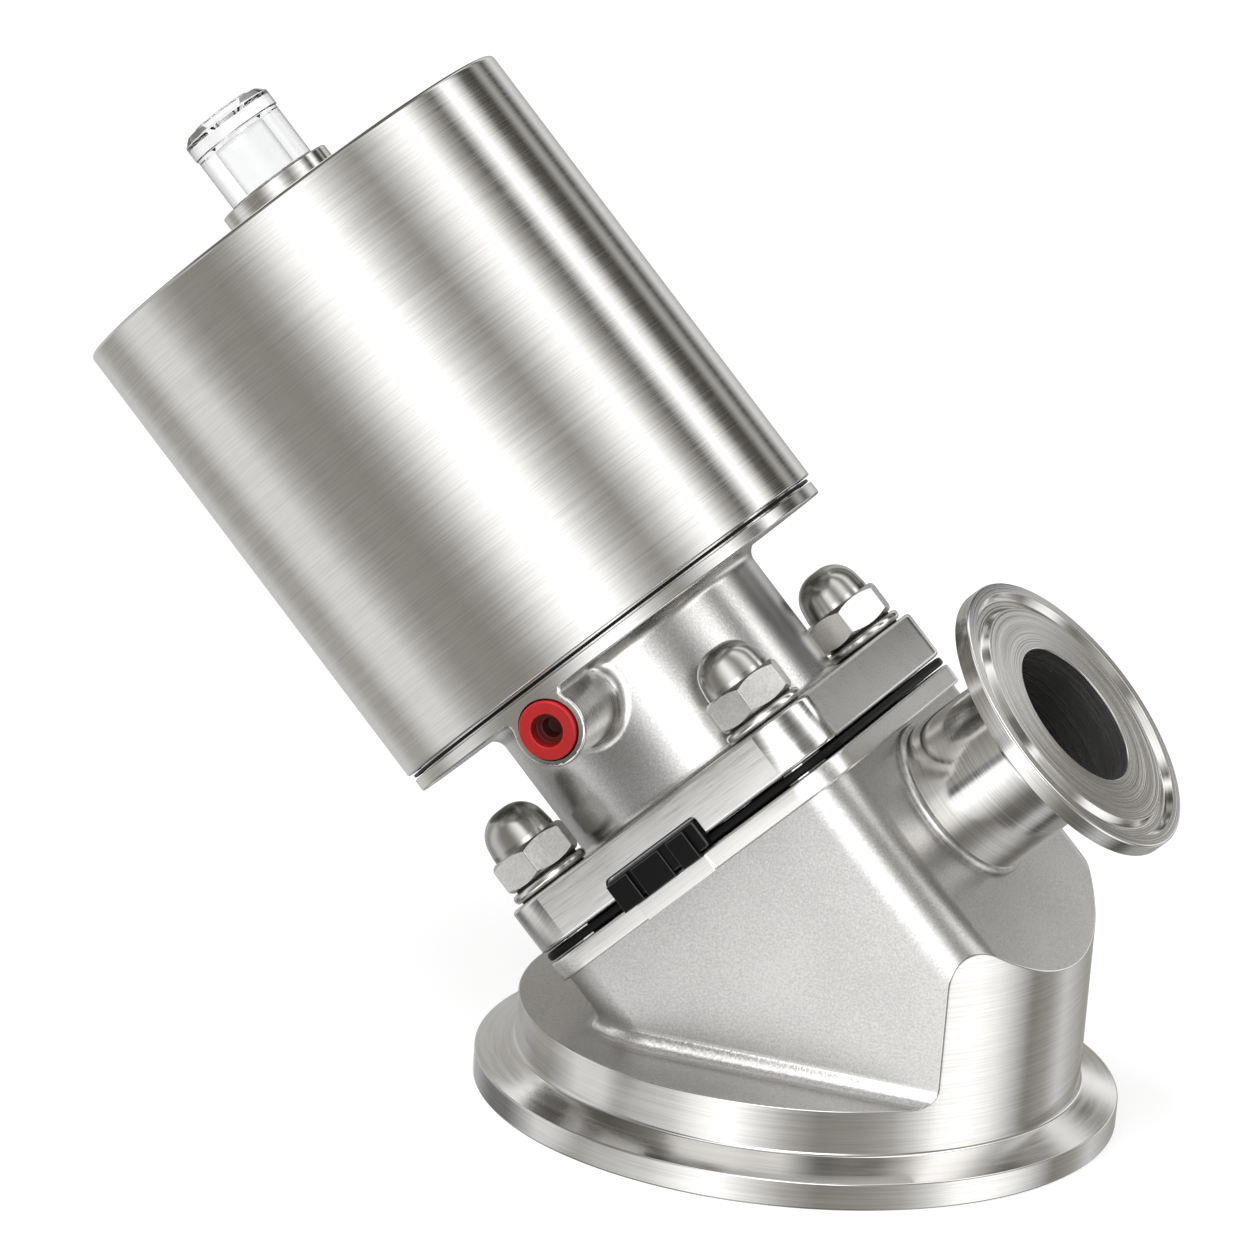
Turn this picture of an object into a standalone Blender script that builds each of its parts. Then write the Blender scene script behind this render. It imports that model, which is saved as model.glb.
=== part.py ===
"""Tank bottom valve: a diaphragm valve that closes the lowest point of a vessel.

The valve stands on its large tank ferrule, as it would be held for assembly. A pneumatic
actuator leans 45 degrees to -X over the body, and the outlet leaves at a right angle to it,
up and to +X, on an axis that passes a little below the actuator's to clear the body flange.
A spring pack keeps the diaphragm shut, and air at the pilot port lifts it.

Each shaft-like piece is modelled along +Z of a frame that lies on its own axis:
the tank frame (vertical), the actuator frame, the outlet frame and the port frame.
"""

import math

import bmesh
import bpy

MM = 0.001

# Layout
TILT = math.radians(45)
CROSSING_HEIGHT = 34.5 * MM
CLEARANCE = 0.3 * MM

# Tank ferrule and valve body
TANK_FERRULE_DIA = 106 * MM
TANK_RIM_HEIGHT = 4.5 * MM
FERRULE_SLOPE = math.radians(20)
TANK_RIM_LAND = 6.5 * MM
TANK_GROOVE_INSET = 4.5 * MM
GROOVE_HALF_WIDTH = 1.5 * MM
GROOVE_DEPTH = 1.2 * MM
SHELF_HEIGHT = 14.4 * MM
BLOCK_INSET = 1.2 * MM
BLOCK_FILLET = 3.2 * MM
TANK_MOUTH_DIA = 64 * MM
TANK_FUNNEL_HEIGHT = 21 * MM
WEIR_THICKNESS = 4 * MM
SEAT_TO_STUDS = 6.9 * MM
SEAT_DEPTH = 5.6 * MM
WAY_TO_SEAT_EDGE = 2 * MM

# Square flanges and what clamps them
FLANGE_SIDE = 65 * MM
FLANGE_CORNER = 8.5 * MM
SEAT_PLANE = 16.6 * MM
BODY_FLANGE_THICKNESS = 3.5 * MM
GASKET_SPACE = 2 * MM
BONNET_FLANGE_THICKNESS = 8.5 * MM
BOLT_INSET = 8.5 * MM
STUD_DIA = 8 * MM
STUD_DEPTH_IN_BODY = 10 * MM
WASHER_DIA = 14.2 * MM
WASHER_THICKNESS = 1.6 * MM
NUT_ACROSS_FLATS = 13 * MM
NUT_HEX_HEIGHT = 5.6 * MM
NUT_HEIGHT = 12.4 * MM
NUT_ROOF = 3.2 * MM
NUT_DOME_STEP = 0.7 * MM
NUT_TURN = math.radians(-11)

# Diaphragm
MEMBRANE_THICKNESS = 2.4 * MM
DIAPHRAGM_STUD_DIA = 5 * MM
TAG_LENGTH = 19 * MM
TAG_OFFSET = -2.5 * MM
TAG_BELOW_SEAT = 0.5 * MM
TAG_HEIGHT = 5.7 * MM
TAG_PROUD = 1.7 * MM
TAG_NOTCH_DEPTH = 1.2 * MM
TAG_SEGMENT_STEP = 0.7 * MM
TAG_PAD_PROUD = 0.4 * MM

# Bonnet
NECK_TO_NUTS = 1 * MM
NECK_WALL = 4.9 * MM
NECK_HEIGHT = 24.5 * MM
NECK_FILLET = 1.2 * MM
BASE_DISC_INSET = 0.5 * MM
BASE_DISC_THICKNESS = 2.2 * MM
BASE_SPIGOT_HEIGHT = 8 * MM
PRESSURE_ROOM_SPARE = 2.1 * MM
PRESSURE_ROOM_CONE = 4 * MM
BUSH_DIA = 20 * MM
BUSH_ROOF = 4.4 * MM
PORT_DROP = 7.8 * MM
PORT_PROUD = 0.3 * MM
PORT_BOSS_DIA = 12.6 * MM
PORT_FILLET = 2 * MM
PORT_WALL = 1.1 * MM
PORT_BORE_DEPTH = 9 * MM
AIR_WAY_DIA = 3.6 * MM
AIR_WAY_INSET = 6 * MM

# Actuator
SHELL_DIA = 82 * MM
SHELL_WALL = 1.8 * MM
SHELL_LENGTH = 86 * MM
SHELL_TOP_THICKNESS = 3 * MM
SHELL_EDGE = 0.8 * MM
SHELL_SEAL_THICKNESS = 0.5 * MM
RETAINING_WIRE_DIA = 1.6 * MM
PISTON_HEIGHT = 12 * MM
PISTON_WEB = 5 * MM
PISTON_GAP = 1 * MM
PISTON_SEAL_DIA = 3 * MM
GUIDE_RING_HEIGHT = 2.4 * MM
STROKE = 8 * MM
SPINDLE_DIA = 12 * MM
SPINDLE_END_DIA = 10 * MM
SPINDLE_SEAL_DIA = 1.8 * MM
SPINDLE_NUT_FLATS = 17 * MM
SPINDLE_NUT_HEIGHT = 6 * MM
SPINDLE_END_PROUD = 4 * MM
SPINDLE_SOCKET_FLOOR = 4.5 * MM
PRESSURE_PIECE_GAP = 2.5 * MM
PRESSURE_PIECE_HEIGHT = 10 * MM
OUTER_SPRING_GAP = 3.1 * MM
OUTER_WIRE_DIA = 4.6 * MM
OUTER_ACTIVE_TURNS = 4.5
INNER_SPRING_GAP = 5.6 * MM
INNER_WIRE_DIA = 3.2 * MM
INNER_ACTIVE_TURNS = 7

# Position indicator
INDICATOR_ROD_DIA = 5 * MM
INDICATOR_ROD_SEAT = 8 * MM
INDICATOR_ROD_SPARE = 2.6 * MM
INDICATOR_RING_DIA = 20.6 * MM
INDICATOR_RING_HEIGHT = 4.6 * MM
INDICATOR_THREAD_DIA = 14 * MM
INDICATOR_CAP_DIA = 16.4 * MM
INDICATOR_CAP_HEIGHT = 14.2 * MM
INDICATOR_CAP_BORE = 9.6 * MM
INDICATOR_CAP_ROOF = 4.4 * MM

# Outlet
TUBE_DIA = 27 * MM
TUBE_WALL = 1 * MM
OUTLET_FERRULE_DIA = 50.5 * MM
OUTLET_RIM_HEIGHT = 2.9 * MM
OUTLET_LENGTH = 25.4 * MM
OUTLET_GROOVE_INSET = 3.5 * MM
WELD_RADIUS = 1.1 * MM

# Radii and half widths that follow from neighbours
BODY_RADIUS = TANK_FERRULE_DIA / 2 - TANK_RIM_LAND
BLOCK_HALF = FLANGE_SIDE / 2 - BLOCK_INSET
BOLT_HALF = FLANGE_SIDE / 2 - BOLT_INSET
BOLT_RADIUS = BOLT_HALF * math.sqrt(2)
SEAT_RADIUS = BOLT_RADIUS - STUD_DIA / 2 - SEAT_TO_STUDS
PORT_WAY_RADIUS = (SEAT_RADIUS - WEIR_THICKNESS / 2 - WAY_TO_SEAT_EDGE) / 2
NECK_RADIUS = BOLT_RADIUS - NUT_ACROSS_FLATS / math.sqrt(3) - NECK_TO_NUTS
ROOM_RADIUS = NECK_RADIUS - NECK_WALL
PRESSURE_PIECE_RADIUS = ROOM_RADIUS - PRESSURE_PIECE_GAP
SPINDLE_HOLE_RADIUS = SPINDLE_DIA / 2 + CLEARANCE
SHELL_BORE_RADIUS = SHELL_DIA / 2 - SHELL_WALL
SPIGOT_RADIUS = SHELL_BORE_RADIUS - 2 * CLEARANCE
BASE_DISC_RADIUS = SHELL_DIA / 2 - BASE_DISC_INSET
PISTON_RADIUS = SHELL_BORE_RADIUS - CLEARANCE
PISTON_SKIRT_RADIUS = PISTON_RADIUS - PISTON_SEAL_DIA - 1.5 * MM
OUTER_SPRING_RADIUS = PISTON_SKIRT_RADIUS - OUTER_SPRING_GAP - OUTER_WIRE_DIA / 2
INNER_SPRING_RADIUS = SPINDLE_NUT_FLATS / math.sqrt(3) + INNER_SPRING_GAP + INNER_WIRE_DIA / 2
OUTLET_BORE_RADIUS = TUBE_DIA / 2 - TUBE_WALL
OUTLET_FOOT = BLOCK_HALF + CLEARANCE
OUTLET_REACH = OUTLET_FOOT + OUTLET_LENGTH
PORT_REACH = BASE_DISC_RADIUS + PORT_PROUD
PORT_BORE_RADIUS = PORT_BOSS_DIA / 2 - PORT_WALL
AIR_WAY_PLACE = NECK_RADIUS - AIR_WAY_INSET

# Stations along the actuator axis, measured from where the axes cross
BODY_FLANGE_LOW = SEAT_PLANE - BODY_FLANGE_THICKNESS
OUTLET_STATION = BODY_FLANGE_LOW - CLEARANCE - WELD_RADIUS - TUBE_DIA / 2
BONNET_LOW = SEAT_PLANE + GASKET_SPACE
BONNET_FLANGE_TOP = BONNET_LOW + BONNET_FLANGE_THICKNESS
BASE_DISC_LOW = BONNET_FLANGE_TOP + NECK_HEIGHT
BASE_DISC_TOP = BASE_DISC_LOW + BASE_DISC_THICKNESS
SHELL_LOW = BASE_DISC_TOP + SHELL_SEAL_THICKNESS + 2 * CLEARANCE
SHELL_TOP = SHELL_LOW + SHELL_LENGTH
SHELL_ROOF = SHELL_TOP - SHELL_TOP_THICKNESS
BASE_TOP = BASE_DISC_TOP + BASE_SPIGOT_HEIGHT
PISTON_LOW = BASE_TOP + PISTON_GAP
PISTON_WEB_TOP = PISTON_LOW + PISTON_WEB
SPINDLE_NUT_LOW = PISTON_WEB_TOP + CLEARANCE
SPINDLE_TOP = SPINDLE_NUT_LOW + SPINDLE_NUT_HEIGHT + SPINDLE_END_PROUD
PORT_STATION = SHELL_LOW - PORT_DROP
WASHER_LOW = BONNET_FLANGE_TOP + CLEARANCE
NUT_LOW = WASHER_LOW + WASHER_THICKNESS + CLEARANCE
RETAINING_STATION = BASE_DISC_TOP + 0.5 * BASE_SPIGOT_HEIGHT
PRESSURE_PIECE_LOW = SEAT_PLANE + 2 * CLEARANCE - SEAT_DEPTH + MEMBRANE_THICKNESS
ROOM_TOP = PRESSURE_PIECE_LOW + PRESSURE_PIECE_HEIGHT + STROKE + PRESSURE_ROOM_SPARE
BUSH_LOW = ROOM_TOP + PRESSURE_ROOM_CONE
BUSH_TOP = BASE_TOP - BUSH_ROOF - CLEARANCE

FINE = 36
MEDIUM = 18
SMALL = 12
CUTTER_PHASE = math.radians(1.7)


def clear_scene():
    for obj in list(bpy.data.objects):
        bpy.data.objects.remove(obj, do_unlink=True)


def make_collection(name):
    collection = bpy.data.collections.new(name)
    bpy.context.scene.collection.children.link(collection)
    return collection


def make_material(name, color, roughness, metallic, alpha=1.0):
    material = bpy.data.materials.new(name)
    material.use_nodes = True
    shader = material.node_tree.nodes["Principled BSDF"]
    shader.inputs["Base Color"].default_value = (*color, 1)
    shader.inputs["Roughness"].default_value = roughness
    shader.inputs["Metallic"].default_value = metallic
    shader.inputs["Alpha"].default_value = alpha
    return material


def make_frame(name, parent=None, location=(0, 0, 0), turn=(0, 0, 0)):
    """An empty whose +Z is the axis that the pieces on it are modelled along."""
    frame = bpy.data.objects.new(name, None)
    PARTS.objects.link(frame)
    frame.parent = parent
    frame.location = location
    frame.rotation_euler = turn
    return frame


def add_part(name, mesh, frame, material, location=(0, 0, 0)):
    obj = bpy.data.objects.new(name, mesh)
    PARTS.objects.link(obj)
    obj.parent = frame
    obj.location = location
    if not mesh.materials:
        mesh.materials.append(material)
    mesh.shade_smooth()
    mesh.set_sharp_from_angle(angle=math.radians(35))
    return obj


def add_cutter(name, mesh, frame, location=(0, 0, 0), phase=0):
    obj = bpy.data.objects.new(name, mesh)
    CUTTERS.objects.link(obj)
    obj.parent = frame
    obj.location = location
    obj.rotation_euler = (0, 0, phase)
    obj.hide_render = True
    obj.display_type = "WIRE"
    return obj


def combine(obj, operation, *others):
    for other in others:
        modifier = obj.modifiers.new(operation.lower(), "BOOLEAN")
        modifier.operation = operation
        modifier.object = other
        modifier.solver = "EXACT"


def cut(obj, *cutters):
    combine(obj, "DIFFERENCE", *cutters)


def join(obj, *additions):
    combine(obj, "UNION", *additions)


def tidy_joint(obj):
    """Weld the points that the cuts left on top of each other, and clear spare flat edges."""
    weld = obj.modifiers.new("weld", "WELD")
    weld.merge_threshold = 0.000002
    flat = obj.modifiers.new("flat_faces", "DECIMATE")
    flat.decimate_type = "DISSOLVE"
    flat.angle_limit = math.radians(0.2)


def baked(obj):
    """Plain mesh of an object with its modifiers, for pieces that are used more than once."""
    bpy.context.view_layer.update()
    depsgraph = bpy.context.evaluated_depsgraph_get()
    mesh = bpy.data.meshes.new_from_object(obj.evaluated_get(depsgraph))
    bpy.data.objects.remove(obj, do_unlink=True)
    return mesh


def turned(profile, steps=FINE):
    """Revolve (radius, height) points about +Z. They run down the outside, from the top."""
    mesh = bpy.data.meshes.new("turned")
    points = [(radius if radius > 1e-9 else 0, 0, height) for radius, height in profile]
    edges = [(index, index + 1) for index in range(len(points) - 1)]
    if points[0][0] > 0 or points[-1][0] > 0:
        edges.append((len(points) - 1, 0))
    mesh.from_pydata(points, edges, [])
    obj = bpy.data.objects.new("turned", mesh)
    bpy.context.scene.collection.objects.link(obj)
    screw = obj.modifiers.new("revolve", "SCREW")
    screw.steps = steps
    screw.render_steps = steps
    screw.use_merge_vertices = True
    screw.merge_threshold = 0.000001
    return baked(obj)


def rod(radius, low, high, steps=MEDIUM):
    return turned([(0, high), (radius, high), (radius, low), (0, low)], steps)


def tube(outer, inner, low, high, steps=FINE):
    return turned([(inner, high), (outer, high), (outer, low), (inner, low)], steps)


def o_ring(mean_radius, wire_radius, height, steps=FINE, sides=5):
    points = []
    for index in range(sides):
        angle = math.pi / 2 - 2 * math.pi * index / sides
        points.append((mean_radius + wire_radius * math.cos(angle),
                       height + wire_radius * math.sin(angle)))
    return turned(points, steps)


def arc(center, radius, start, end, pieces):
    """Points of a round stretch in a profile, angles in degrees from +radius toward +height."""
    points = []
    for index in range(pieces + 1):
        angle = math.radians(start + (end - start) * index / pieces)
        points.append((center[0] + radius * math.cos(angle), center[1] + radius * math.sin(angle)))
    return points


def cap_height(radius, rim_radius, depth):
    """Height above its lowest point of a spherical bowl that is depth deep at rim_radius."""
    sphere = (rim_radius ** 2 + depth ** 2) / (2 * depth)
    return sphere - math.sqrt(sphere ** 2 - radius ** 2)


def bowl_curve(outer, inner, rim_radius, depth, bottom, pieces=4):
    """Profile points on a spherical bowl, from the outer radius to the inner one."""
    points = []
    for index in range(pieces + 1):
        radius = outer + (inner - outer) * index / pieces
        points.append((radius, bottom + cap_height(radius, rim_radius, depth)))
    return points


def box(size_x, size_y, low, high):
    mesh = bpy.data.meshes.new("box")
    shape = bmesh.new()
    bmesh.ops.create_cube(shape, size=1)
    bmesh.ops.scale(shape, verts=shape.verts, vec=(size_x, size_y, high - low))
    bmesh.ops.translate(shape, verts=shape.verts, vec=(0, 0, (low + high) / 2))
    shape.to_mesh(mesh)
    shape.free()
    return mesh


def rounded_square(side, corner, low, high, segments=5):
    """Square bar along +Z whose four long edges are rounded."""
    mesh = box(side, side, low, high)
    shape = bmesh.new()
    shape.from_mesh(mesh)
    upright = [edge for edge in shape.edges
               if abs(edge.verts[0].co.z - edge.verts[1].co.z) > (high - low) / 2]
    bmesh.ops.bevel(shape, geom=upright, offset=corner, segments=segments, profile=0.5,
                    affect="EDGES")
    shape.to_mesh(mesh)
    shape.free()
    return mesh


def hex_bar(across_flats, low, high):
    mesh = bpy.data.meshes.new("hexagon")
    shape = bmesh.new()
    radius = across_flats / math.sqrt(3)
    bmesh.ops.create_cone(shape, cap_ends=True, segments=6, radius1=radius, radius2=radius,
                          depth=high - low)
    bmesh.ops.translate(shape, verts=shape.verts, vec=(0, 0, (low + high) / 2))
    shape.to_mesh(mesh)
    shape.free()
    return mesh


def lofted(rings):
    """Closed solid through rings of equally many points, the first ring lowest."""
    mesh = bpy.data.meshes.new("lofted")
    shape = bmesh.new()
    rows = [[shape.verts.new(point) for point in ring] for ring in rings]
    for lower, upper in zip(rows, rows[1:]):
        for index in range(len(lower)):
            after = (index + 1) % len(lower)
            shape.faces.new((lower[index], lower[after], upper[after], upper[index]))
    shape.faces.new(list(reversed(rows[0])))
    shape.faces.new(rows[-1])
    bmesh.ops.recalc_face_normals(shape, faces=shape.faces)
    shape.to_mesh(mesh)
    shape.free()
    return mesh


def helix_mesh(mean_radius, wire_radius, low, high, active_turns, points_per_turn=12):
    """Compression spring whose last turn at each end lies close, as a ground end does."""
    close_pitch = 2 * wire_radius + CLEARANCE
    start = low + wire_radius
    travel = high - low - 2 * wire_radius
    turns = active_turns + 2
    open_pitch = (travel - 2 * close_pitch) / active_turns
    curve = bpy.data.curves.new("helix", "CURVE")
    curve.dimensions = "3D"
    curve.bevel_depth = wire_radius
    curve.bevel_resolution = 1
    curve.use_fill_caps = True
    count = int(turns * points_per_turn) + 1
    spline = curve.splines.new("POLY")
    spline.points.add(count - 1)
    for index in range(count):
        turn = turns * index / (count - 1)
        height = start + close_pitch * min(turn, 1)
        height += open_pitch * min(max(turn - 1, 0), active_turns)
        height += close_pitch * max(turn - 1 - active_turns, 0)
        angle = 2 * math.pi * turn
        spline.points[index].co = (mean_radius * math.cos(angle),
                                   mean_radius * math.sin(angle), height, 1)
    obj = bpy.data.objects.new("helix", curve)
    bpy.context.scene.collection.objects.link(obj)
    mesh = baked(obj)
    bpy.data.curves.remove(curve)
    shape = bmesh.new()
    shape.from_mesh(mesh)
    bmesh.ops.remove_doubles(shape, verts=shape.verts, dist=0.000001)
    bmesh.ops.recalc_face_normals(shape, faces=shape.faces)
    shape.to_mesh(mesh)
    shape.free()
    return mesh


def bolt_places():
    half = BOLT_HALF
    return [(-half, -half), (half, -half), (half, half), (-half, half)]


def block_outline(outset, corner_pieces=5):
    """Rounded square across the block's axis, with its outline moved outward."""
    half = BLOCK_HALF + outset
    corner = FLANGE_CORNER - BLOCK_INSET + outset
    outline = []
    for quarter, (side_u, side_v) in enumerate([(1, 1), (-1, 1), (-1, -1), (1, -1)]):
        for index in range(corner_pieces + 1):
            angle = math.radians(90 * (quarter + index / corner_pieces))
            outline.append((side_u * (half - corner) + corner * math.cos(angle),
                            side_v * (half - corner) + corner * math.sin(angle)))
    return outline


def block_section(height, outset):
    """Level section of the leaning block."""
    lean = (height - CROSSING_HEIGHT) * math.tan(TILT)
    return [(u / math.cos(TILT) - lean, v, height) for u, v in block_outline(outset)]


def block_form():
    """Leaning rounded-square block, from a fillet on the shelf up to the body flange."""
    rings = [block_section(SHELF_HEIGHT - 1 * MM, BLOCK_FILLET)]
    for index in range(4):
        angle = math.radians(90 * index / 3)
        rise = BLOCK_FILLET * (1 - math.cos(angle))
        outset = BLOCK_FILLET * (1 - math.sin(angle))
        rings.append(block_section(SHELF_HEIGHT + rise, outset))
    top = BODY_FLANGE_LOW + 1 * MM
    rings.append([(u * math.cos(TILT) - top * math.sin(TILT), v,
                   CROSSING_HEIGHT + u * math.sin(TILT) + top * math.cos(TILT))
                  for u, v in block_outline(0)])
    return lofted(rings)


def tank_funnel(way_offset):
    """Mouth on the tank side: a cone that leans over to meet the way up to the seat."""
    top = TANK_FUNNEL_HEIGHT
    way_x = way_offset / math.cos(TILT) - (top - CROSSING_HEIGHT) * math.tan(TILT)
    mouth = TANK_MOUTH_DIA / 2
    half_way = PORT_WAY_RADIUS - 1.5 * MM
    rings = []
    for height in (-1 * MM, top):
        share = height / top
        half_x = mouth + (half_way / math.cos(TILT) - mouth) * share
        half_y = mouth + (half_way - mouth) * share
        angles = [2 * math.pi * index / MEDIUM + CUTTER_PHASE for index in range(MEDIUM)]
        rings.append([(way_x * share + half_x * math.cos(angle), half_y * math.sin(angle), height)
                      for angle in angles])
    return lofted(rings)


def ferrule_rise(rim_radius, neck_radius):
    return (rim_radius - neck_radius) * math.tan(FERRULE_SLOPE)


def make_valve_body():
    rim = TANK_FERRULE_DIA / 2
    neck = BODY_RADIUS
    groove = rim - TANK_GROOVE_INSET
    blank_top = CROSSING_HEIGHT + (BLOCK_HALF + SEAT_PLANE) * math.sin(TILT) + 20 * MM
    blank = turned([(0, blank_top), (neck, blank_top),
                    (neck, TANK_RIM_HEIGHT + ferrule_rise(rim, neck)), (rim, TANK_RIM_HEIGHT),
                    (rim, 0.4 * MM), (rim - 0.4 * MM, 0), (groove + GROOVE_HALF_WIDTH, 0),
                    (groove + GROOVE_HALF_WIDTH / 2, GROOVE_DEPTH),
                    (groove - GROOVE_HALF_WIDTH / 2, GROOVE_DEPTH),
                    (groove - GROOVE_HALF_WIDTH, 0), (0, 0)])
    body = add_part("valve_body", blank, TANK, STEEL)

    milled = add_cutter("body_milling", box(3 * rim, 3 * rim, SHELF_HEIGHT, 2 * blank_top), TANK)
    cut(milled, add_cutter("body_block", block_form(), TANK))
    cut(body, milled)

    flange = rounded_square(FLANGE_SIDE, FLANGE_CORNER, BODY_FLANGE_LOW, SEAT_PLANE)
    pad_height = BODY_FLANGE_THICKNESS - TAG_BELOW_SEAT - 1 * MM
    pad = box(TAG_LENGTH - 4 * MM, 4 * MM, BODY_FLANGE_LOW + 0.4 * MM,
              BODY_FLANGE_LOW + 0.4 * MM + pad_height)
    pad_y = -FLANGE_SIDE / 2 + 2 * MM - TAG_PAD_PROUD
    join(body, add_cutter("body_flange", flange, ACTUATOR),
         add_cutter("tag_pad", pad, ACTUATOR, location=(TAG_OFFSET, pad_y, 0)))

    seat_bottom = SEAT_PLANE - SEAT_DEPTH
    seat = bowl_curve(SEAT_RADIUS, 0, SEAT_RADIUS, SEAT_DEPTH, seat_bottom)
    bowl = turned([(0, SEAT_PLANE + 2 * MM), (SEAT_RADIUS, SEAT_PLANE + 2 * MM)] + seat)
    way_offset = -(WEIR_THICKNESS / 2 + PORT_WAY_RADIUS)
    way_low = (TANK_FUNNEL_HEIGHT - 6 * MM - CROSSING_HEIGHT) / math.cos(TILT) - way_offset
    tank_way = rod(PORT_WAY_RADIUS, way_low, SEAT_PLANE - 2 * MM)
    outlet_radius = OUTLET_BORE_RADIUS
    outlet_start = WEIR_THICKNESS / 2 + 0.6 * MM
    outlet_way = turned([(0, FLANGE_SIDE), (outlet_radius, FLANGE_SIDE)]
                        + arc((0, outlet_start + outlet_radius), outlet_radius, 0, -90, 5),
                        MEDIUM)
    riser = rod(PORT_WAY_RADIUS, 0, SEAT_PLANE - 2 * MM)
    cut(body, add_cutter("seat_bowl", bowl, ACTUATOR, phase=CUTTER_PHASE),
        add_cutter("tank_way", tank_way, ACTUATOR, (way_offset, 0, 0), CUTTER_PHASE),
        add_cutter("tank_funnel", tank_funnel(way_offset), TANK),
        add_cutter("outlet_way", outlet_way, OUTLET, phase=CUTTER_PHASE),
        add_cutter("outlet_riser", riser, ACTUATOR, (-way_offset, 0, 0), CUTTER_PHASE))

    stud_hole = rod(STUD_DIA / 2 + CLEARANCE, SEAT_PLANE - STUD_DEPTH_IN_BODY - CLEARANCE,
                    SEAT_PLANE + 2 * MM, SMALL)
    for index, (u, v) in enumerate(bolt_places()):
        cut(body, add_cutter(f"body_stud_hole_{index + 1}", stud_hole, ACTUATOR, (u, v, 0)))
    tidy_joint(body)
    return body


def make_outlet_spigot():
    """Tube with a clamp ferrule, welded to the body's right face."""
    face = OUTLET_FOOT
    tube_radius = TUBE_DIA / 2
    bore = OUTLET_BORE_RADIUS
    rim = OUTLET_FERRULE_DIA / 2
    groove = rim - OUTLET_GROOVE_INSET
    rim_low = OUTLET_REACH - OUTLET_RIM_HEIGHT
    slope_low = rim_low - ferrule_rise(rim, tube_radius + 2 * MM)
    bead = arc((tube_radius, face), WELD_RADIUS, 75, 0, 3)
    profile = [(bore, OUTLET_REACH), (groove - GROOVE_HALF_WIDTH, OUTLET_REACH),
               (groove - GROOVE_HALF_WIDTH / 2, OUTLET_REACH - GROOVE_DEPTH),
               (groove + GROOVE_HALF_WIDTH / 2, OUTLET_REACH - GROOVE_DEPTH),
               (groove + GROOVE_HALF_WIDTH, OUTLET_REACH), (rim - 0.4 * MM, OUTLET_REACH),
               (rim, OUTLET_REACH - 0.4 * MM), (rim, rim_low),
               (tube_radius + 2 * MM, slope_low)]
    profile += arc((tube_radius + 2 * MM, slope_low - 2 * MM), 2 * MM, 90, 180, 3)[1:]
    profile += bead + [(bore, face)]
    return add_part("outlet_spigot", turned(profile), OUTLET, STEEL)


def make_diaphragm():
    """Moulded rubber diaphragm: a square rim, a bowl that rests on the weir, and a tag."""
    low = SEAT_PLANE + CLEARANCE
    high = BONNET_LOW - CLEARANCE
    side = FLANGE_SIDE - 2 * CLEARANCE
    rim = rounded_square(side, FLANGE_CORNER - CLEARANCE, low, high)
    diaphragm = add_part("diaphragm", rim, ACTUATOR, RUBBER)
    room = add_cutter("diaphragm_opening", rod(SEAT_RADIUS - 1 * MM, 0, 2 * SEAT_PLANE, FINE),
                      ACTUATOR, phase=CUTTER_PHASE)
    cut(diaphragm, room)

    bottom = low - SEAT_DEPTH
    outer = SEAT_RADIUS
    top_depth = high - bottom - MEMBRANE_THICKNESS
    under = bowl_curve(outer, 0, outer, SEAT_DEPTH, bottom)
    over = bowl_curve(DIAPHRAGM_STUD_DIA / 2 + 4 * CLEARANCE, outer, outer, top_depth,
                      bottom + MEMBRANE_THICKNESS)
    socket = DIAPHRAGM_STUD_DIA / 2 + 4 * CLEARANCE
    membrane = turned([(0, bottom + 1 * MM), (socket, bottom + 1 * MM)] + over + under)
    join(diaphragm, add_cutter("diaphragm_bowl", membrane, ACTUATOR))

    tag_low = SEAT_PLANE - TAG_BELOW_SEAT
    front = FLANGE_SIDE / 2 + TAG_PROUD
    outside = FLANGE_SIDE / 2 + CLEARANCE
    root = side / 2 - TAG_NOTCH_DEPTH + CLEARANCE
    plate = box(TAG_LENGTH, front - outside, tag_low, tag_low + TAG_HEIGHT)
    heel = box(TAG_LENGTH, front - root - 0.2 * MM, low, tag_low + TAG_HEIGHT)
    recess = box(TAG_LENGTH / 3, 2 * TAG_SEGMENT_STEP, tag_low - 1 * MM, tag_low + 0.68 * TAG_HEIGHT)
    tag_x = TAG_OFFSET
    join(diaphragm,
         add_cutter("tag_plate", plate, ACTUATOR, (tag_x, -(front + outside) / 2, 0)),
         add_cutter("tag_heel", heel, ACTUATOR, (tag_x, -(front + root - 0.2 * MM) / 2, 0)))
    cut(diaphragm, add_cutter("tag_recess", recess, ACTUATOR, (tag_x, -front, 0)))
    hole = rod(STUD_DIA / 2 + CLEARANCE, low - 2 * MM, high + 2 * MM, SMALL)
    for index, (u, v) in enumerate(bolt_places()):
        cut(diaphragm, add_cutter(f"diaphragm_stud_hole_{index + 1}", hole, ACTUATOR, (u, v, 0)))
    tidy_joint(diaphragm)
    return diaphragm


def make_diaphragm_stud():
    bottom = SEAT_PLANE + CLEARANCE - SEAT_DEPTH + 1 * MM + CLEARANCE
    radius = DIAPHRAGM_STUD_DIA / 2
    head = radius + 3 * CLEARANCE
    profile = [(0, bottom + 6 * MM), (radius, bottom + 6 * MM), (radius, bottom + 1 * MM),
               (head, bottom + 1 * MM), (head, bottom), (0, bottom)]
    return add_part("diaphragm_stud", turned(profile, SMALL), ACTUATOR, STEEL)


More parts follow.
